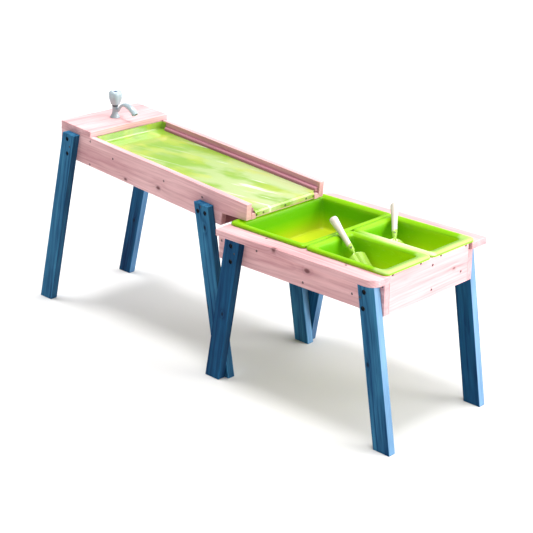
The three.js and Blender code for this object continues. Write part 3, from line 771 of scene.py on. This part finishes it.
def build_side(side_name, side):
    """The boards and legs of the near or far side; side is -1 or 1, the way they face along Y."""
    outward = Vector((0, side, 0))

    def outer_y(name):
        low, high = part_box(name)
        return low.y if side < 0 else high.y

    def inner_y(name):
        low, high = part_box(name)
        return high.y if side < 0 else low.y

    def bolts_of(leg, y, direction):
        """The leg's two bolts, where they meet the plane at y."""
        centres = [centre_of(f"{side_name}_{leg}_bolt_{k}") for k in (1, 2)]
        return [(Vector((centre.x, y, centre.z)), direction) for centre in centres]

    def on_face(name, places):
        return [(Vector((x * MM, outer_y(name), z * MM)), outward) for x, z in places]

    def knots_of(name):
        low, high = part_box(name)
        found = []
        for x, other, radius in KNOTS.get(name, []):
            level = name.endswith("_rail")
            place = (x * MM, other * MM, high.z) if level else (x * MM, low.y, other * MM)
            found.append((place, radius * MM))
        return found

    def nuts_in(name, legs):
        return [nut for leg in legs for nut in bolts_of(leg, inner_y(name), -outward)]

    for leg, screw in LEG_SCREWS.items():
        name = f"{side_name}_{leg}"
        board(
            name, SHADED_BLUE_WOOD if name in SHADED_LEGS else BLUE_WOOD,
            x_face_light_and_shade=X_FACE_LIGHT_AND_SHADE.get(name, 0.0),
            bolts=bolts_of(leg, outer_y(name), outward),
            screws=on_face(name, [screw]),
            knots=knots_of(name),
            seed=len(name) * 7 + side,
        )

    rail = f"{side_name}_rail"
    _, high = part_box(rail)
    screws = [(Vector((x * MM, side * y * MM, high.z)), Vector((0, 0, 1))) for x, y in RAIL_SCREWS]
    board(rail, screws=screws, knots=knots_of(rail), edge=2.2, seed=21 + side)

    apron = f"{side_name}_apron"
    board(
        apron,
        nuts=nuts_in(apron, ["table_left_leg", "table_right_leg"]),
        screws=on_face(apron, APRON_SCREWS),
        knots=knots_of(apron),
        seed=31 + side,
    )
    chute_board = f"{side_name}_chute_board"
    low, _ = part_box(chute_board)
    board(
        chute_board,
        nuts=nuts_in(chute_board, ["chute_head_leg", "chute_lip_leg"]),
        screws=on_face(chute_board, CHUTE_BOARD_SCREWS),
        knots=knots_of(chute_board),
        notched=True,
        inner=(Vector((low.x, inner_y(chute_board), low.z)), -outward),
        seed=41 + side,
    )
    board(f"{side_name}_ledger", edge=0.8, seed=51 + side)
    # Painted shade: the clamp battens get the darker pink wood.
    board(f"{side_name}_clamp_batten", SHADED_PINK_WOOD, edge=0.8, seed=61 + side)


def build_boards():
    build_side("near", -1)
    build_side("far", 1)

    outward = Vector((1, 0, 0))
    low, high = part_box("right_end_board")
    screws = [(Vector((high.x, y * MM, z * MM)), outward) for y, z in RIGHT_END_SCREWS]
    knots = [((high.x, 0.105, 0.43), 0.0035)]
    # Painted light on the end board's face towards +X.
    board("right_end_board", screws=screws, knots=knots, x_face_light_and_shade=0.28, seed=72)
    low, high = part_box("left_end_board")
    screws = [(Vector((low.x, y * MM, z * MM)), -outward) for y, z in LEFT_END_SCREWS]
    board("left_end_board", screws=screws, seed=73)
    plain = [
        "tub_cross_board", "tub_divider_board", "head_board", "bulkhead_board", "upper_slat", "lip_board",
    ]
    for index, name in enumerate(plain):
        board(name, edge=1.0, seed=80 + index)
    # Painted shade: the lower bulkhead gets the darker pink wood.
    board("lower_bulkhead_board", SHADED_PINK_WOOD, edge=1.0, shouldered=True, seed=90)
    for index, name in enumerate(["head_deck_board", "front_deck_board"]):
        board(name, edge=2.0, seed=92 + index)


# ---- Bolts and screws ----------------------------------------------------------------------


def to_hexagon(flat, angle):
    """How far out a hexagon reaches at the angle, with its flats at the distance flat."""
    return flat / math.cos(angle % (math.pi / 3) - math.pi / 6)


def lathe(profile, sides=40, radius_at=None):
    """A turned mesh about Z from (radius, height) points in millimetres. Points on the axis close it."""
    bm = bmesh.new()
    loops = []
    for radius, height in profile:
        radius *= MM
        height *= MM
        if radius == 0:
            loops.append([bm.verts.new((0, 0, height))])
            continue
        loop = []
        for i in range(sides):
            angle = 2 * math.pi * i / sides
            size = radius_at(radius, height, angle) if radius_at else radius
            loop.append(bm.verts.new((size * math.cos(angle), size * math.sin(angle), height)))
        loops.append(loop)
    for lower, upper in zip(loops, loops[1:]):
        if len(lower) == len(upper):
            bridge(bm, [lower, upper])
            continue
        for i in range(sides):
            j = (i + 1) % sides
            tip = (lower[0], upper[j], upper[i]) if len(lower) == 1 else (lower[i], lower[j], upper[0])
            bm.faces.new(tip)
    return bm


def bolt_mesh():
    """Round head with a key socket, shank and round nut, along Z with its head's face at Z = 0."""

    def key_socket(radius, height, angle):
        in_socket = radius < 3.4 * MM and height > -3.2 * MM
        return to_hexagon(radius, angle) if in_socket else radius

    profile = [
        (0, -2.9), (2.9, -2.9), (2.95, -0.5), (3.3, -0.25), (3.7, -0.05), (4.6, 0), (5.5, -0.35),
        (5.95, -1.1), (6, -4.6), (5.8, -5), (4, -5), (4, -35.2), (6.0, -35.2), (6.5, -35.7),
        (6.5, -40.7), (6.0, -41.2), (4.2, -41.25), (4.0, -40.2), (0, -40.0),
    ]
    return mesh_from(lathe(list(reversed(profile)), sides=36, radius_at=key_socket), "counterbored_bolt")


def build_bolts():
    mesh = bolt_mesh()
    for name in [n for n in nodes if "_bolt_" in n]:
        low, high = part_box(name)
        near = name.startswith("near")
        head_y = low.y if near else high.y
        piece = new_object(f"{name}_steel", mesh.copy())
        place = Matrix.Translation(((low.x + high.x) / 2, head_y, (low.z + high.z) / 2))
        piece.data.transform(place @ facing(Vector((0, -1 if near else 1, 0))))
        settle(piece, name, DARK_STEEL)
        soften(piece, 30)


def screw_head(bm, point, direction, twist):
    """A countersunk head with a cross recess, its flat face just above point."""
    radius, face = 3.4, 0.35
    arm, slot, sink = 2.1, 0.42, -0.9
    turn = Matrix.Translation(point) @ facing(direction) @ Matrix.Rotation(twist, 4, "Z")
    rim = [
        [bm.verts.new(turn @ spot) for spot in circle_points(size * MM, height * MM, 32)]
        for size, height in ((radius - 1.2, -1.2), (radius, 0.1), (radius - 0.25, face))
    ]
    bridge(bm, rim)
    bm.faces.new(list(reversed(rim[0])))
    cross = []
    for quarter in range(4):
        angle = quarter * math.pi / 2
        cos, sin = math.cos(angle), math.sin(angle)
        for x, y in ((slot, -slot), (arm, -slot), (arm, slot)):
            cross.append((cos * x - sin * y, sin * x + cos * y))
    cross.sort(key=lambda c: math.atan2(c[1], c[0]))
    top = [bm.verts.new(turn @ Vector((x * MM, y * MM, face * MM))) for x, y in cross]
    floor = [bm.verts.new(turn @ Vector((0.8 * x * MM, 0.8 * y * MM, sink * MM))) for x, y in cross]
    for i in range(len(top)):
        j = (i + 1) % len(top)
        bm.faces.new((top[j], top[i], floor[i], floor[j]))
    bm.faces.new(floor)
    # The flat ring between the round rim and the cross.
    edges = []
    for loop in (rim[-1], top):
        edges += [bm.edges.get((a, b)) for a, b in zip(loop, loop[1:] + loop[:1])]
    bmesh.ops.triangle_fill(bm, edges=edges, use_beauty=True)


def build_screws():
    chance = random.Random(5)
    by_body = {}
    for body, point, direction in screw_seats:
        bm = by_body.setdefault(body, bmesh.new())
        screw_head(bm, point, direction, twist=chance.uniform(0, math.pi))
    for body, bm in by_body.items():
        piece = new_object(f"{body}_screw_heads", mesh_from(bm, f"{body}_screw_heads"))
        settle(piece, [], SCREW_STEEL, body=body)
        soften(piece, 25)


# ---- Tubs ----------------------------------------------------------------------------------

# How far in each tub's wall stands from its rim's outer edge: left, right, near, far.
TUB_INSETS = {
    "big_tub": (28, 19, 21.5, 21.5),
    "near_tub": (19, 28, 21.5, 19),
    "far_tub": (19, 28, 19, 21.5),
}


def rounded_outline(x0, x1, y0, y1, radius, z, bow=0.0):
    """Rounded rectangle of points, counter-clockwise, whose straight sides may bow inwards."""
    corner_steps, side_steps = 9, 8
    points = []
    corners = [
        (x1 - radius, y0 + radius, -90), (x1 - radius, y1 - radius, 0),
        (x0 + radius, y1 - radius, 90), (x0 + radius, y0 + radius, 180),
    ]

    def on_corner(corner, degrees):
        x, y, start = corner
        angle = math.radians(start + degrees)
        return Vector((x + radius * math.cos(angle), y + radius * math.sin(angle), z))

    for corner, following in zip(corners, corners[1:] + corners[:1]):
        points += [on_corner(corner, 90 * i / corner_steps) for i in range(corner_steps + 1)]
        last, first = points[-1], on_corner(following, 0)
        angle = math.radians(following[2])
        inward = Vector((-math.cos(angle), -math.sin(angle), 0))
        for i in range(1, side_steps):
            t = i / side_steps
            points.append(last.lerp(first, t) + inward * bow * math.sin(math.pi * t))
    return points


def build_tub(name, insets):
    """A vacuum-formed tub: rounded floor, leaning walls, a rolled rim and a skirt down to the boards."""
    low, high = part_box(name)
    left, right, near, far = (value * MM for value in insets)
    top, foot, floor = high.z, 0.4883, low.z + 2.5 * MM
    depth = top - floor

    def wall(extra, z, radius, bow=0.0):
        extra *= MM
        return rounded_outline(
            low.x + left + extra, high.x - right - extra, low.y + near + extra, high.y - far - extra,
            radius * MM, z, bow * MM,
        )

    def rim(inset, z, radius=15):
        inset *= MM
        return rounded_outline(
            low.x + inset, high.x - inset, low.y + inset, high.y - inset, radius * MM, z,
        )

    inside = [
        wall(40, floor - 0.3 * MM, 16),
        wall(22, floor, 17),
        wall(17.5, floor + 0.2 * MM, 17),
        wall(14.0, floor + 1.2 * MM, 17, 0.3),
        wall(11.8, floor + 3.4 * MM, 17, 0.6),
        wall(10.7, floor + 7 * MM, 17, 0.9),
        wall(8.8, floor + 0.26 * depth, 16.5, 1.4),
        wall(6.3, floor + 0.52 * depth, 16, 1.5),
        wall(4.0, floor + 0.76 * depth, 15.5, 1.0),
        wall(2.6, top - 8.5 * MM, 15, 0.4),
        wall(1.6, top - 5.6 * MM, 15),
    ]
    over_rim = [
        rim(inset, top - drop * MM, radius)
        for inset, drop, radius in (
            (16.5, 3.0, 14), (14.2, 1.2, 14), (11.5, 0.3, 14), (8.5, 0, 14.5),
            (5.2, 0.3, 15), (2.6, 1.3, 15), (0.9, 3.0, 15), (0.1, 5.4, 15),
        )
    ]
    skirt = [
        rim(inset, foot + rise * MM)
        for inset, rise in ((0.0, 1.2), (0.5, 0.3), (1.2, 0), (2.2, 0.5), (2.5, 3.0))
    ]
    outside = [
        rim(4.0, top - 4.0 * MM),
        wall(-2.5, top - 6.5 * MM, 15),
        wall(0.0, top - 9.5 * MM, 15),
        wall(1.4, floor + 0.76 * depth, 15.5),
        wall(3.8, floor + 0.52 * depth, 16),
        wall(6.3, floor + 0.26 * depth, 16.5),
        wall(8.2, floor + 7 * MM, 17),
        wall(9.6, floor + 2.4 * MM, 17),
        wall(12.2, floor - 0.8 * MM, 17),
        wall(16, floor - 2.2 * MM, 17),
        wall(22, floor - 2.5 * MM, 16),
        wall(40, floor - 2.5 * MM, 16),
    ]
    bm = bmesh.new()
    rings = [[bm.verts.new(point) for point in loop] for loop in [*inside, *over_rim, *skirt, *outside]]
    bridge(bm, rings)
    bm.faces.new(rings[0])
    bm.faces.new(list(reversed(rings[-1])))
    piece = new_object(f"{name}_shell", mesh_from(bm, f"{name}_shell"))
    settle(piece, name, TUB_PLASTIC)
    smooth(piece)


def build_tubs():
    for name, insets in TUB_INSETS.items():
        build_tub(name, insets)


# ---- Chute liner ---------------------------------------------------------------------------

TILT = math.radians(4.8)
CHUTE_HEAD = Vector((-0.645, 0, 0.621))
CHUTE_FRAME = Matrix.Translation(CHUTE_HEAD) @ Matrix.Rotation(TILT, 4, "Y")
# From here to the tap, sizes are millimetres in the chute's own frame: u down the slope, y across, w up.
DECK = 149.5
DECK_TOP = 18.3
LINER_HALF = 140.7
LIP_HALF = 122.4
FLOOR_TOP = -29
SHEET = 2.5
LIP_BEND = 844.8          # where the lip starts to turn down
LIP_RADIUS = 6
LIP_FACE = LIP_BEND + LIP_RADIUS


def sheet_between(rows, thickness, name):
    """A sheet of even thickness through rows of points in millimetres, with rounded free edges."""
    bm = bmesh.new()
    grid = [[bm.verts.new(Vector(point) * MM) for point in row] for row in rows]
    for a, b in zip(grid, grid[1:]):
        for i in range(len(a) - 1):
            bm.faces.new((a[i], a[i + 1], b[i + 1], b[i]))
    piece = new_object(name, mesh_from(bm, name))
    solidify = piece.modifiers.new("thickness", "SOLIDIFY")
    solidify.thickness = thickness * MM
    solidify.offset = -1
    bake_modifiers(piece)
    bm = bmesh.new()
    bm.from_mesh(piece.data)
    bevel_edges(bm, 0.7 * MM, segments=2, angle=50)
    bm.to_mesh(piece.data)
    bm.free()
    return piece


def join_pieces(name, pieces):
    bm = bmesh.new()
    for piece in pieces:
        bm.from_mesh(piece.data)
        bpy.data.objects.remove(piece)
    mesh = bpy.data.meshes.new(name)
    bm.to_mesh(mesh)
    bm.free()
    return new_object(name, mesh)


def across_row(half, u, height):
    """Points from side to side; height is a number, or a function of (u, y)."""
    steps = 24
    spots = [-half + 2 * half * i / steps for i in range(steps + 1)]
    return [(u, y, height(u, y) if callable(height) else height) for y in spots]


def liner_floor():
    """The floor, which rolls up a little against the head wall."""
    roll, steps = 7, 60

    def sagging(u, y):
        """The sheet lies on the ledgers and sags a little between the slats."""
        inside = max(0.0, 1 - (abs(y) / 124) ** 4)
        ends = min(1.0, (u - DECK) / 60, (LIP_FACE - u) / 40)
        wave = 0.9 * math.sin(u / 67 + y / 95) + 0.6 * math.sin(u / 31 - y / 47 + 1.3)
        return FLOOR_TOP + inside * max(ends, 0) * (0.45 * wave - 0.3)

    rows = []
    for angle in (90, 60, 30, 0):
        a = math.radians(angle)
        u = DECK + 0.2 + roll * (1 - math.sin(a))
        rows.append(across_row(LINER_HALF, u, FLOOR_TOP + roll * (1 - math.cos(a))))
    start = DECK + 0.2 + roll
    for k in range(1, steps + 1):
        rows.append(across_row(LINER_HALF, start + (LIP_BEND - start) * k / steps, sagging))
    return sheet_between(rows, SHEET, "floor_sheet")


def liner_lip():
    """The lip, which bends down over the lip board between the ledgers."""
    rows = [across_row(LIP_HALF, u, FLOOR_TOP) for u in (838.0, 841.5, LIP_BEND)]
    for angle in (15, 30, 45, 60, 75, 90):
        a = math.radians(angle)
        u = LIP_BEND + LIP_RADIUS * math.sin(a)
        rows.append(across_row(LIP_HALF, u, FLOOR_TOP - LIP_RADIUS * (1 - math.cos(a))))
    rows += [across_row(LIP_HALF, LIP_FACE, w) for w in (-38.0, -41.0, -44.5, -45.7)]
    return sheet_between(rows, SHEET, "lip_sheet")


def liner_head_wall():
    """The head wall, with a short rounded return at each side board."""
    radius, steps = 9, 12
    side = -LINER_HALF + SHEET
    turn = [(DECK + reach, side) for reach in (17.5, 14, radius)]
    for angle in (15, 30, 45, 60, 75):
        a = math.radians(angle)
        turn.append((DECK + radius * (1 - math.sin(a)), side + radius * (1 - math.cos(a))))
    straight = side + radius
    path = turn + [(DECK, straight - 2 * straight * i / steps) for i in range(steps + 1)]
    path += [(u, -y) for u, y in reversed(turn)]
    heights = (-28.9, -24, -18, -12, -6, -2.5, -1.2)
    return sheet_between([[(u, y, w) for u, y in reversed(path)] for w in heights], 2.3, "wall_sheet")


def build_liner():
    liner = join_pieces("chute_liner_sheet", [liner_floor(), liner_lip(), liner_head_wall()])
    liner.data.transform(CHUTE_FRAME)
    settle(liner, "chute_liner", LINER_PLASTIC)
    soften(liner, 50)

    out = (CHUTE_FRAME.to_3x3() @ Vector((1, 0, 0))).normalized()
    seats = [(LIP_FACE, y, -40) for y in (-118, -90, 0, 88, 118)] + [(DECK, y, -5.5) for y in (-63, 36, 130)]
    for u, y, w in seats:
        screw_seats.append(("chute", CHUTE_FRAME @ (Vector((u + 0.1, y, w)) * MM), out))


# ---- Tap -----------------------------------------------------------------------------------

TAP_FRAME = CHUTE_FRAME @ Matrix.Translation((DECK / 2 * MM, 0, DECK_TOP * MM))


def place_on_deck(name, bm, node_names, finish, body=None, angle=40):
    piece = new_object(name, mesh_from(bm, name))
    piece.data.transform(TAP_FRAME)
    settle(piece, node_names, finish, body=body)
    soften(piece, angle)


def spline(points, count):
    """Catmull-Rom curve through the points, at count + 1 places evenly spaced along it."""
    substeps, tiny = 24, 1e-9
    points = [Vector(p) for p in points]
    ends = [2 * points[0] - points[1], *points, 2 * points[-1] - points[-2]]
    dense = []
    for p0, p1, p2, p3 in zip(ends, ends[1:], ends[2:], ends[3:]):
        linear, square, cube = p2 - p0, 2 * p0 - 5 * p1 + 4 * p2 - p3, 3 * p1 - p0 - 3 * p2 + p3
        for k in range(substeps):
            t = k / substeps
            dense.append(0.5 * ((2 * p1) + linear * t + square * t * t + cube * t ** 3))
    dense.append(points[-1])
    lengths = [0.0]
    for a, b in zip(dense, dense[1:]):
        lengths.append(lengths[-1] + (b - a).length)
    result = [dense[0]]
    for k in range(1, count + 1):
        target = lengths[-1] * k / count
        index = next(i for i, s in enumerate(lengths) if s >= target - tiny)
        share = (target - lengths[index - 1]) / max(lengths[index] - lengths[index - 1], tiny)
        result.append(dense[index - 1].lerp(dense[index], share))
    return result


def smoothstep(low, high, value):
    t = min(max((value - low) / (high - low), 0.0), 1.0)
    return t * t * (3 - 2 * t)


def build_spout():
    """The arched spout: a tapering tube with a flared, slightly flattened and hollow mouth."""
    arch = [
        (13, 0, 26), (16, 0, 27.6), (20.5, 0, 32), (27, 0, 41), (36, 0, 48.5),
        (51, 0, 52.3), (67, 0, 51.5), (81.5, 0, 47.3), (93, 0, 40.8), (100, 0, 33.3),
    ]
    count, sides, bore_steps = 44, 32, 9
    centres = spline(arch, count)
    bm = bmesh.new()

    def ring(index, radius, slide=0.0):
        before, after = centres[max(index - 1, 0)], centres[min(index + 1, count)]
        tangent = (after - before).normalized() if index else Vector((1, 0, 0))
        across = Vector((-tangent.z, 0, tangent.x))
        flat = 1.0 - 0.10 * smoothstep(0.3, 0.9, index / count)
        middle = centres[index] + tangent * slide
        return [
            bm.verts.new((middle + across * spot.x * flat + Vector((0, spot.y, 0))) * MM)
            for spot in circle_points(radius, 0, sides)
        ]

    rings = []
    for i in range(count + 1):
        t = i / count
        radius = 6.3 - 1.5 * smoothstep(0.0, 0.16, t) + 6.5 * smoothstep(0.20, 0.88, t)
        rings.append(ring(i, radius - 0.35 * max(0.0, t - 0.93) / 0.07))
    rings.append(ring(count, 10.0, 0.55))
    rings.append(ring(count, 9.2, 0.3))
    rings += [ring(count - k, 8.7 - 0.02 * k) for k in range(bore_steps)]
    bridge(bm, rings)
    bm.faces.new(list(reversed(rings[0])))
    bm.faces.new(rings[-1])
    place_on_deck("tap_spout_shell", bm, "tap_spout", TAP_PLASTIC, angle=60)


def build_tap_body():
    """Body, with soft rolls at its foot and a boss that the spout grows from."""
    body = lathe([
        (0, -43.5), (7.4, -43.5), (7.9, -43), (7.9, -0.05), (14.6, -0.05), (15.9, 0.3), (16.0, 1.4),
        (15.4, 2.6), (14.2, 4.8), (12.6, 8.6), (11.2, 12.6), (10.3, 16.5), (9.8, 20.5), (9.6, 25),
        (9.5, 35.0), (9.4, 35.6), (9.0, 36.0), (0, 36.0),
    ], sides=48)
    boss = lathe([(0, 6), (7.4, 6), (7.4, 12.6), (7.1, 13.6), (6.2, 14.4), (0, 14.4)], sides=32)
    boss.transform(Matrix.Translation((0, 0, 27 * MM)) @ Matrix.Rotation(math.pi / 2, 4, "Y"))
    mesh = bpy.data.meshes.new("boss")
    boss.to_mesh(mesh)
    boss.free()
    body.from_mesh(mesh)
    place_on_deck("tap_body_shell", body, "tap_body", TAP_PLASTIC, angle=45)

    # A dark ring round the neck under the knob: painted shade.
    neck_shade_ring = lathe([
        (5.2, 36.2), (9.6, 36.2), (10.2, 36.7), (10.4, 37.6), (10.4, 39.0), (10.1, 39.6), (10.1, 40.2),
        (10.4, 40.8), (10.4, 41.6), (10.0, 42.3), (9.2, 42.6), (5.2, 42.6), (5.2, 36.2),
    ], sides=48)
    place_on_deck("tap_neck_shade_ring", neck_shade_ring, [], NECK_SHADE_PLASTIC, body="chute")


def build_knob():

    def fluted(radius, height, angle):
        """Six shallow finger flutes that fade out at the grip's foot and at its shoulder."""
        if radius <= 10 * MM:
            return radius
        h = height / MM
        fade = smoothstep(45, 54, h) * (1 - smoothstep(78, 85, h))
        wave = 0.5 + 0.5 * math.cos(6 * angle)
        return radius * (1 - 0.085 * fade * wave ** 1.6)

    grip = lathe([
        (5.0, 76), (5.0, 44.5), (5.6, 43.3), (12.4, 43.2), (13.8, 43.5), (14.6, 44.4), (15.5, 46.4),
        (17.0, 50), (19.0, 55), (20.8, 60), (22.0, 65), (22.6, 70), (22.5, 75), (21.7, 79.2), (20.1, 82.8),
        (17.6, 85.8), (14.9, 87.4), (13.6, 87.9), (13.0, 87.95), (12.8, 87.6), (12.6, 86.2), (7.2, 85.6),
        (6.9, 85.0), (6.8, 81.5), (5.0, 76),
    ], sides=72, radius_at=fluted)
    place_on_deck("tap_knob_grip", grip, "tap_knob", TAP_PLASTIC, angle=50)
    ring = lathe([
        (6.95, 85.2), (12.5, 85.9), (12.6, 86.9), (12.2, 87.3), (9, 87.0), (7.3, 86.6), (6.95, 86.2),
        (6.95, 85.2),
    ], sides=48)
    place_on_deck("tap_knob_ring", ring, [], PALE_PLASTIC, body="tap_handle")
    cap = lathe([(0, 81.6), (6.5, 81.6), (6.6, 85.3), (6.2, 86.0), (5.2, 86.5), (3, 86.8), (0, 86.9)])
    place_on_deck("knob_index_disc", cap, "knob_index_cap", INDEX_PLASTIC)
    spindle = lathe([
        (0, 36.4), (4.6, 36.4), (4.7, 36.6), (4.7, 43.8), (4.4, 44.4), (4.4, 75.2), (4.0, 75.6), (0, 75.7),
    ], sides=32)
    place_on_deck("tap_spindle_rod", spindle, "tap_spindle", DARK_STEEL)


def build_tap_fixing():
    """The washer and the lock nut under the deck."""
    washer = lathe([
        (8.3, -21.5), (16.4, -21.5), (17, -21), (17, -19.2), (16.4, -18.7), (8.3, -18.7), (8.3, -21.5),
    ])
    place_on_deck("tap_washer_ring", washer, "tap_washer", RUBBER)

    def six_sided(radius, height, angle):
        return min(to_hexagon(12.2 * MM, angle), radius) if radius > 9 * MM else radius

    nut = lathe([
        (8.3, -29), (12.2, -29), (14.2, -28.2), (14.2, -22.9), (12.2, -22), (8.3, -22), (8.3, -29),
    ], sides=48, radius_at=six_sided)
    place_on_deck("tap_back_nut", nut, "tap_lock_nut", TAP_PLASTIC, angle=25)


# ---- Tools ---------------------------------------------------------------------------------

# Where each shovel's handle starts and ends, in millimetres, and the way across its blade.
TOOLS = {
    "near": ((499.5, -61.5, 480.4), (433.9, -59.3, 544.5), (0.71, 0.70, 0)),
    "far": ((502.9, 128.3, 474.3), (456.8, 181.2, 531.3), (0.71, 0.70, 0)),
}
SOCKET_CUT = 0.42         # slope of the slanted joint between the handle and the socket


def tool_frame(lower, upper, across):
    up = (Vector(upper) - Vector(lower)).normalized()
    behind = up.cross(Vector(across)).normalized()
    aside = behind.cross(up)
    basis = Matrix((aside, behind, up)).transposed().to_4x4()
    return Matrix.Translation(Vector(lower) * MM) @ basis


def blade_mesh():
    """A small scoop: dished blade with round shoulders, a raised middle and a slender neck."""
    half, neck, length, tip_from = 25, -29, 75, 0.66
    steps, across = 32, 20
    rows = []
    for k in range(steps + 1):
        t = k / steps
        h = neck - length * t
        shoulder = smoothstep(0, 0.13, t) ** 0.5
        past_tip = max(0.0, t - tip_from) / (1 - tip_from)
        tip = math.sqrt(max(0.0, 1 - past_tip ** 2))
        width = half * (0.16 + 0.84 * shoulder) * (1 - 0.06 * smoothstep(0.2, 0.7, t)) * tip
        width = max(width, 1.2)
        row = []
        for i in range(across + 1):
            x = (-1 + 2 * i / across) * width
            dish = 12 * (x / half) ** 2 - 8
            lift = 3.4 * math.exp(-(x / 5.0) ** 2) * (1 - smoothstep(-62, -92, h))
            row.append((x, dish + lift + 1.2, h))
        rows.append(row)
    return sheet_between(rows, 2.6, "blade_sheet")


def tool_handle(side_name, place):
    handle = lathe([
        (0, -15.8), (5.2, -15.8), (5.3, 0.0), (7.4, 0.1), (8.0, 0.8), (8.2, 3), (8.3, 12), (8.5, 28),
        (9.2, 44), (10.4, 60), (11.5, 72), (12.0, 80), (11.8, 84), (11.0, 87), (9.4, 89.3), (6.8, 90.6),
        (3.4, 91), (0, 91),
    ])
    for vertex in handle.verts:
        z = vertex.co.z / MM
        if -0.5 < z < 40:
            vertex.co.z += SOCKET_CUT * vertex.co.x * (1 - smoothstep(1, 36, z))
    piece = new_object(f"{side_name}_tool_grip", mesh_from(handle, f"{side_name}_tool_grip"))
    axes = (Vector((0, 0, 1)), Vector((1, 0, 0)), Vector((0, 1, 0)))
    middle, half = Vector((0, 0, 0.04)), Vector((0.08, 0.03, 0.03))
    write_grain(piece, axes, middle, half, [], 11, pith=(0.012, 0.03))
    for amount in ("painted_shade", "x_face_light_and_shade"):
        write_amounts(piece.data, amount, np.zeros(len(piece.data.vertices)))
    piece.data.transform(place)
    settle(piece, f"{side_name}_tool_handle", HANDLE_WOOD)
    soften(piece, 50)


def tool_scoop(side_name, place):
    sheet = blade_mesh()
    socket = lathe([
        (0, -52), (2.0, -50), (3.2, -44), (3.6, -36), (3.7, -28), (4.2, -24), (5.6, -20.5), (7.0, -17.5),
        (7.9, -12), (8.3, -6), (8.4, -1.4), (8.2, -0.5), (7.8, -0.25), (5.6, -0.25), (5.6, -15.9),
        (0, -16.0),
    ], sides=36)
    for vertex in socket.verts:
        z = vertex.co.z / MM
        if z > -14 and vertex.co.xy.length > 5 * MM:
            vertex.co.z += SOCKET_CUT * vertex.co.x * smoothstep(-14, -0.5, z)
    pieces = [sheet, new_object("socket", mesh_from(socket, "socket"))]
    piece = join_pieces(f"{side_name}_tool_scoop", pieces)
    piece.data.transform(place)
    settle(piece, f"{side_name}_tool_blade", TOOL_PLASTIC)
    soften(piece, 50)
    toward = (place.to_3x3() @ Vector((0.15, -1, 0))).normalized()
    screw_seats.append((f"{side_name}_tool", place @ (Vector((0.0, -7.9, -9)) * MM), toward))


def build_tools():
    for side_name, (lower, upper, across) in TOOLS.items():
        place = tool_frame(lower, upper, across)
        tool_handle(side_name, place)
        tool_scoop(side_name, place)


# ---- Stage ---------------------------------------------------------------------------------

# Soft suns: the way towards the light, its strength, and how wide it is in degrees.
SUNS = {
    "dome": ((0.45, 0.45, 0.77), 3.1, 100),
    "overhead": ((0.0, -0.08, 1.0), 2.25, 15),
    "side": ((0.82, 0.48, 0.30), 1.75, 30),
}
END_LIGHT = {"place": Vector((2.1, 0.55, 0.75)), "target": Vector((0.7, 0, 0.35)), "size": 1.0, "energy": 6}
CAMERA = {"place": (2.6721, -2.5781, 1.6948), "dip": 0.3673752, "heading": 2.3505947, "lens": 87.72214}


def add_light(name, kind, energy, towards):
    data = bpy.data.lights.new(name, kind)
    data.energy = energy
    light = new_object(name, data)
    light.rotation_euler = Vector(towards).to_track_quat("Z", "Y").to_euler()
    return light


def build_stage():
    reach = 40
    corners = [(-reach, -reach, 0), (reach, -reach, 0), (reach, reach, 0), (-reach, reach, 0)]
    mesh = bpy.data.meshes.new("floor")
    mesh.from_pydata(corners, [], [(0, 1, 2, 3)])
    floor = new_object("floor", mesh)
    g = Graph("pale_floor")
    cloud = g.stretched_noise(g.place(), (0.8,) * 3, detail=1.0)
    g.finish(Base_Color=g.mix(cloud, (0.655,) * 3, (0.67,) * 3), Roughness=0.9, Specular_IOR_Level=0.1)
    mesh.materials.append(g.material)

    world = bpy.data.worlds.new("studio")
    world.use_nodes = True
    background = world.node_tree.nodes["Background"]
    background.inputs["Color"].default_value = (1, 1, 1, 1)
    background.inputs["Strength"].default_value = 0.38
    scene.world = world

    for name, (towards, strength, degrees) in SUNS.items():
        sun = add_light(name, "SUN", strength, towards)
        sun.data.angle = math.radians(degrees)
    end = add_light("end", "AREA", END_LIGHT["energy"], END_LIGHT["place"] - END_LIGHT["target"])
    end.data.size = END_LIGHT["size"]
    end.location = END_LIGHT["place"]
    end.visible_camera = False


def build_camera():
    data = bpy.data.cameras.new("camera")
    data.sensor_width = 36
    data.lens = CAMERA["lens"]
    data.clip_start, data.clip_end = 0.05, 100
    camera = new_object("camera", data)
    camera.location = CAMERA["place"]
    camera.rotation_euler = (math.pi / 2 - CAMERA["dip"], 0, CAMERA["heading"] - math.pi / 2)
    scene.camera = camera
    scene.view_settings.view_transform = "Standard"


build_camera()
build_stage()
build_boards()
build_bolts()
build_tubs()
build_liner()
build_tap_body()
build_knob()
build_tap_fixing()
build_spout()
build_tools()
build_screws()
